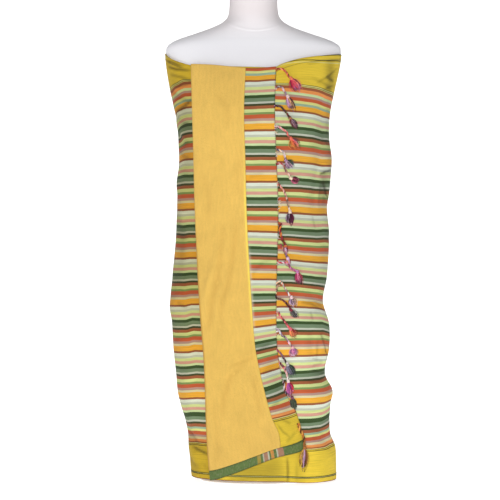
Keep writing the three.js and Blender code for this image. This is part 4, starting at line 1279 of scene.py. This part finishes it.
def tassel(number):
    route, tip, width, over, thick = TASSELS[number]
    first, second, *tuft_dyes = TASSEL_YARNS[number]
    random = np.random.default_rng(40 + number)
    rest, knot_rest = TASSEL_LIFT + CORD_RADIUS * thick + over, TASSEL_LIFT + KNOT_RADIUS + over
    x, z = smooth_path(route, 24).T
    length = np.hypot(np.diff(x), np.diff(z)).sum()
    x, z = smooth_path(route, int(length * 1.2) + 14).T
    path = on_front(x, z, rest + (knot_rest - rest) * np.linspace(0, 1, len(x)) ** 3)
    bundle = YarnBundle()
    for ply, dyes in enumerate((first, second)):
        radius = PLY_RADIUS * thick
        wound = helix(path, radius * 0.85, length / (TWIST_LENGTH * thick), math.pi * ply)
        bundle.add(wound, radius, 7, flecked(dyes, int(length / FLECK_LENGTH), random))
    # the warp ends that gather into the cord
    for n in range(5):
        root_z = z[0] + random.uniform(-6, 6)
        start = on_front(float(rows_at(FLAP_EDGES, root_z)[0, 2]) - 1.5, root_z, rest - 0.6)
        middle = on_front(x[1] - 1, (root_z + z[2]) / 2, rest)
        bundle.add(smooth_path([start, middle, path[4]], 7), 0.55, 5, [(first, second)[n % 2][0]])
    # the knot: turns of both plies round the cord's own end
    down = on_front(tip[0], tip[1], knot_rest) - path[-1]
    down /= np.linalg.norm(down)
    coil = path[-1] + down * np.linspace(-2.6, 2.6, 40)[:, None]
    for ply, dyes in enumerate((first, second)):
        bundle.add(helix(coil, 2.1, 2.6, math.pi * ply), 1.6, 7, [dyes[-1]])
    tuft(bundle, np.array(route[-1], float), tip, width, over, tuft_dyes, random)
    return bundle.make(f"fringe_tassel_{number + 1:02d}")


for number in range(len(TASSELS)):
    piece = tassel(number)
    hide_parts(f"tassel_{number + 1:02d}")
    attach(piece, "root")

# %% [markdown]
# ## The fringed end's edge
#
# Between the cords a dark thread goes over and over the cut end. Its dark line is painted shade, for the
# shadow along the edge. Here and there a few pale ends have worked loose. A dark line in the finish would
# look the same from afar, but flat from close by. So the thread is a tube that goes over the edge and back,
# and the loose ends are thinner tubes.

# %% Edge threads
THREAD_STEP = 1.3     # from one side of the edge to the other
EDGE_SHADOW_DYES = [(52, 38, 30), (70, 44, 34), (46, 40, 34), (60, 40, 40), (58, 50, 34)]
LOOSE_DYES = [(236, 228, 206), (226, 206, 196), (232, 214, 150), (214, 190, 200)]
# height, number of ends
LOOSE_ENDS = [
    (807, 4), (800, 3), (790, 3), (748, 4), (740, 3), (676, 4), (636, 4), (626, 3), (614, 4), (560, 3),
    (452, 4), (440, 4), (346, 3), (337, 4), (272, 4), (262, 3), (222, 4), (190, 3)]


def edge_threads():
    bundle = YarnBundle()
    random = np.random.default_rng(11)
    # the dark thread over the edge is painted shade, for the shadow along the fringed end
    z = np.arange(104.0, 934.0, THREAD_STEP)
    back = np.arange(len(z)) % 2
    around = end_around(z) + np.where(back, 0.5, -1.7)
    bundle.add(on_wrap(around, z, np.where(back, 1.0, 2.35)), 0.5, 5, EDGE_SHADOW_DYES)
    for height, count in LOOSE_ENDS:
        for _ in range(count):
            start = height + random.uniform(-5, 5)
            turn = random.uniform(-1, 1)
            reach = random.uniform(4, 12)
            s = np.linspace(0, 1, 9)
            heights = start + reach * np.sin(s * 2.2 * turn) * 0.8
            out = end_around(heights) - 2 + reach * s
            dye = LOOSE_DYES[random.integers(len(LOOSE_DYES))]
            bundle.add(on_wrap(out, heights, 2.3 - 0.9 * s), 0.42, 5, [dye])
    return bundle.make("fringe_edge_threads")


edging = edge_threads()
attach(edging, "root")
print("faces of the edge threads:", len(edging.data.polygons))

# %% [markdown]
# ## Stitches
#
# The hems are sewn with rows of small stitches. Each row repeats one short piece of thread along a line on
# the cloth, which is work for Geometry Nodes: the line is made a curve and resampled to the stitch spacing,
# and a small five-sided bar is set on every point and turned along the line. The lengths and the thread's
# thickness are named inputs of the tree.

# %% Stitch nodes
STITCHES = {"Stitch spacing": 0.0032, "Stitch length": 0.0026, "Thread radius": 0.00032}


def stitch_tree(name, material):
    tree = bpy.data.node_groups.new(name, "GeometryNodeTree")
    face = tree.interface
    face.new_socket("Geometry", in_out="INPUT", socket_type="NodeSocketGeometry")
    for label, size in STITCHES.items():
        face.new_socket(label, in_out="INPUT", socket_type="NodeSocketFloat").default_value = size
    face.new_socket("Geometry", in_out="OUTPUT", socket_type="NodeSocketGeometry")

    def add(kind, inputs=None, **settings):
        return add_node(tree, kind, inputs, **settings)

    given = add("NodeGroupInput").outputs
    line = add("GeometryNodeMeshToCurve", {"Mesh": given["Geometry"]})
    even = add("GeometryNodeResampleCurve", {"Curve": line.outputs["Curve"],
                                             "Length": given["Stitch spacing"]}, mode="LENGTH")
    bar = add("GeometryNodeMeshCylinder", {"Vertices": 5, "Radius": given["Thread radius"],
                                           "Depth": given["Stitch length"]}, fill_type="TRIANGLE_FAN")
    tangent = add("GeometryNodeInputTangent")
    turn = add("FunctionNodeAlignRotationToVector", {"Vector": tangent.outputs["Tangent"]}, axis="Z")
    placed = add("GeometryNodeInstanceOnPoints", {
        "Points": even.outputs["Curve"], "Instance": bar.outputs["Mesh"],
        "Rotation": turn.outputs["Rotation"]})
    real = add("GeometryNodeRealizeInstances", {"Geometry": placed.outputs["Instances"]})
    shaded = add("GeometryNodeSetMaterial", {"Geometry": real.outputs["Geometry"], "Material": material})
    add("NodeGroupOutput", {"Geometry": shaded.outputs["Geometry"]})
    return tree


dark_stitches = stitch_tree("dark_stitches", dark_thread)


def stitch_line(name, points):
    """A row of stitches along points in millimetres, as a plain mesh object."""
    mesh = bpy.data.meshes.new(name + "_line")
    mesh.from_pydata((points * MM).tolist(), [(k, k + 1) for k in range(len(points) - 1)], [])
    guide = bpy.data.objects.new(name + "_line", mesh)
    bpy.context.scene.collection.objects.link(guide)
    modifier = guide.modifiers.new("stitches", "NODES")
    modifier.node_group = dark_stitches
    for item in dark_stitches.interface.items_tree:
        if item.in_out == "INPUT" and item.name in STITCHES:
            modifier[item.identifier] = STITCHES[item.name]
    evaluated = guide.evaluated_get(bpy.context.evaluated_depsgraph_get())
    plain = bpy.data.meshes.new_from_object(evaluated)
    plain.name = name
    piece = bpy.data.objects.new(name, plain)
    bpy.context.scene.collection.objects.link(piece)
    bpy.data.objects.remove(guide)
    return piece


print("stitches in metres:", STITCHES)


# %% Sew the hems
STITCH_LIFT = 0.45


def wrap_line(rise, from_top, start, end, count=700):
    """A line on the wrap at a distance from its top edge or its hem."""
    turns = np.linspace(start, end, count)[None, :]
    _, low = wrap_place(turns, np.zeros_like(turns))
    _, high = wrap_place(turns, np.ones_like(turns))
    share = 1 - rise / (high - low) if from_top else rise / (high - low)
    around, z = wrap_place(turns, share)
    _, _, rest = wrap_rest(turns, around, z)
    return on_wrap(around, z, rest + STITCH_LIFT)[0]


stitches = [stitch_line("hem_stitches", wrap_line(12.5, False, 0.14, 0.97)),
            stitch_line("top_hem_stitches", wrap_line(11.8, True, 0.18, 0.97))]
for piece in stitches:
    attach(piece, "root")
print("stitch faces:", [len(piece.data.polygons) for piece in stitches])

# %% [markdown]
# ## The dress form
#
# The form is a padded torso without limbs, covered in white jersey and cut off at the neck. It could be
# turned like a vase, but a body is wider than it is deep. Its solid has the right sections and flat faces,
# so here it is made again as a fine smooth skin on the same sections. The seam where the neck's cover joins
# the body is a low ridge beside a groove. It runs lowest in the middle of the front.

# %% Torso
# height, left, right, front, back, squareness
FORM_SECTIONS = [
    (376, 128, 128, 76, 74, 2.2), (384, 143, 143, 88, 85, 2.2), (408, 149, 149, 94, 91, 2.2),
    (478, 153, 153, 95, 94, 2.2), (558, 143, 143, 88, 84, 2.2), (648, 122, 122, 80, 72, 2.2),
    (730, 138, 138, 96, 78, 2.2), (841, 166, 166, 110, 86, 2.3), (896, 181, 179, 97, 86, 2.35),
    (951, 196, 196, 80, 81, 2.4), (988, 201, 201, 66, 74, 2.4), (1000, 194, 194, 62, 68, 2.4),
    (1011, 174, 172, 58, 65, 2.3), (1026, 130, 128, 54, 62, 2.2), (1040, 92, 90, 52, 60, 2.1),
    (1054, 67, 67, 51, 59, 2.0), (1072, 57, 57, 50, 58, 2.0), (1128, 55, 55, 50, 58, 2.0)]


TORSO_SIDES = 160


def torso_skin():
    # rings lie closest over the shoulders, where the form curves in to the neck
    heights = np.concatenate([np.arange(376, 1008, 7.0), np.arange(1008, 1052, 1.3),
                              np.arange(1052, 1128, 5.0), [1128.0]])
    angles = np.linspace(0, 2 * math.pi, TORSO_SIDES, endpoint=False)[None, :]
    x, y, nx, ny = section_points(FORM_SECTIONS, heights, angles)
    z = np.broadcast_to(heights[:, None], x.shape)
    seam = np.where(y < 0, 1023 + 0.0045 * (x - 5) ** 2, 1046)
    ridge = -0.3 * np.exp(-((z - seam) / 1.3) ** 2) + 0.6 * np.exp(-((z - seam - 3.5) / 2.4) ** 2)
    points = np.stack([x + nx * ridge, y + ny * ridge, z], axis=-1)
    faces = ring_faces(len(heights), TORSO_SIDES)
    return new_object("dress_form_torso", points.reshape(-1, 3), faces, [jersey])


torso = torso_skin()
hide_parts("form_torso")
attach(torso, "root")
print("torso faces:", len(torso.data.polygons))

# %% [markdown]
# ## The stand
#
# Under the garment the form stands on a steel pole and an oval base, painted white. Their solids are already
# what they should be, so they keep their own meshes and only get the paint. Its slight glow stands for the
# light that white floors throw back up under the hem.

# %% Stand
def painted_steel(name):
    finish = Finish(name, roughness=0.42, specular=0.5)
    place = finish.place()
    wear = finish.range(finish.noise(place, 30, detail=4), 0.45, 0.7, 0, 1)
    base = finish.mix(wear, colour(250, 250, 250), colour(244, 244, 244))
    # painted light: the white paint glows a little, for the light that the floor throws up under the hem
    finish.shader.inputs["Emission Color"].default_value = (1, 1, 1, 1)
    finish.shader.inputs["Emission Strength"].default_value = 0.3
    orange_peel = finish.noise(place, 420, detail=2)
    return finish.finish(base, orange_peel, distance=0.0002, strength=0.3)


steel = painted_steel("painted_steel")
for node in ("form_base", "form_pole"):
    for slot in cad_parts[node].material_slots:
        slot.material = steel
print("stand finished")

# %% [markdown]
# ## The soft pieces are made

print("soft pieces made")

# %% [markdown]
# ## Floor and light
#
# The photograph was taken against plain white with soft light from the front. A pale floor that sweeps up
# behind the form has no edge to see. A soft box stands in front on the left, a weaker one on the right, and
# one over the floor keeps it white. The world looks white too, but lights the form only a little, so that
# its sides fall into shade.

# %% Floor
def sweep_floor():
    metre, radius, half_width = 1000, 2.0, 8.0
    rows = [(-6.0, 0.0), (3.0, 0.0)]
    for angle in np.linspace(0.05, math.pi / 2, 24):
        rows.append((3.0 + radius * math.sin(angle), radius - radius * math.cos(angle)))
    rows.append((5.0, 6.0))
    points = [(x, y, z) for y, z in rows for x in (-half_width, half_width)]
    faces = [[2 * r, 2 * r + 1, 2 * r + 3, 2 * r + 2] for r in range(len(rows) - 1)]
    finish = Finish("pale_floor", roughness=0.9, specular=0.05)
    finish.shader.inputs["Emission Color"].default_value = (1, 1, 1, 1)
    finish.shader.inputs["Emission Strength"].default_value = 0.85
    paint_colour = finish.mix(0.1, colour(190, 190, 190), finish.noise(finish.place(), 2.0))
    return new_object("pale_floor", np.array(points) * metre, faces, [finish.finish(paint_colour)])


floor = sweep_floor()
print("floor faces:", len(floor.data.polygons))


# %% Lights
def soft_light(name, place, target, size, power):
    data = bpy.data.lights.new(name, "AREA")
    data.shape, data.size, data.size_y = "RECTANGLE", size[0], size[1]
    data.energy = power
    light = bpy.data.objects.new(name, data)
    light.location = place
    light.rotation_euler = (Vector(target) - Vector(place)).to_track_quat("-Z", "Y").to_euler()
    bpy.context.scene.collection.objects.link(light)


soft_light("front_soft_box", (-0.9, -4.2, 1.6), (0, 0, 0.5), (1.1, 1.2), 94)
soft_light("front_fill", (0.9, -4.3, 0.8), (0, 0, 0.5), (1.2, 1.4), 31)
soft_light("floor_light", (0, 2.4, 2.8), (0, 2.7, 0), (5.0, 2.6), 70)
world = bpy.data.worlds.new("white_room")
world.use_nodes = True
room = world.node_tree
room.nodes["Background"].inputs["Color"].default_value = (1.0, 1.0, 1.0, 1)
# the strength is 1 where the camera sees the room, and 0.1 where its light reaches the form
seen = add_node(room, "ShaderNodeLightPath").outputs["Is Camera Ray"]
level = add_node(room, "ShaderNodeMapRange", {"Value": seen, "To Min": 0.1, "To Max": 1.0})
room.links.new(level.outputs["Result"], room.nodes["Background"].inputs["Strength"])
bpy.context.scene.world = world
print("lights set")
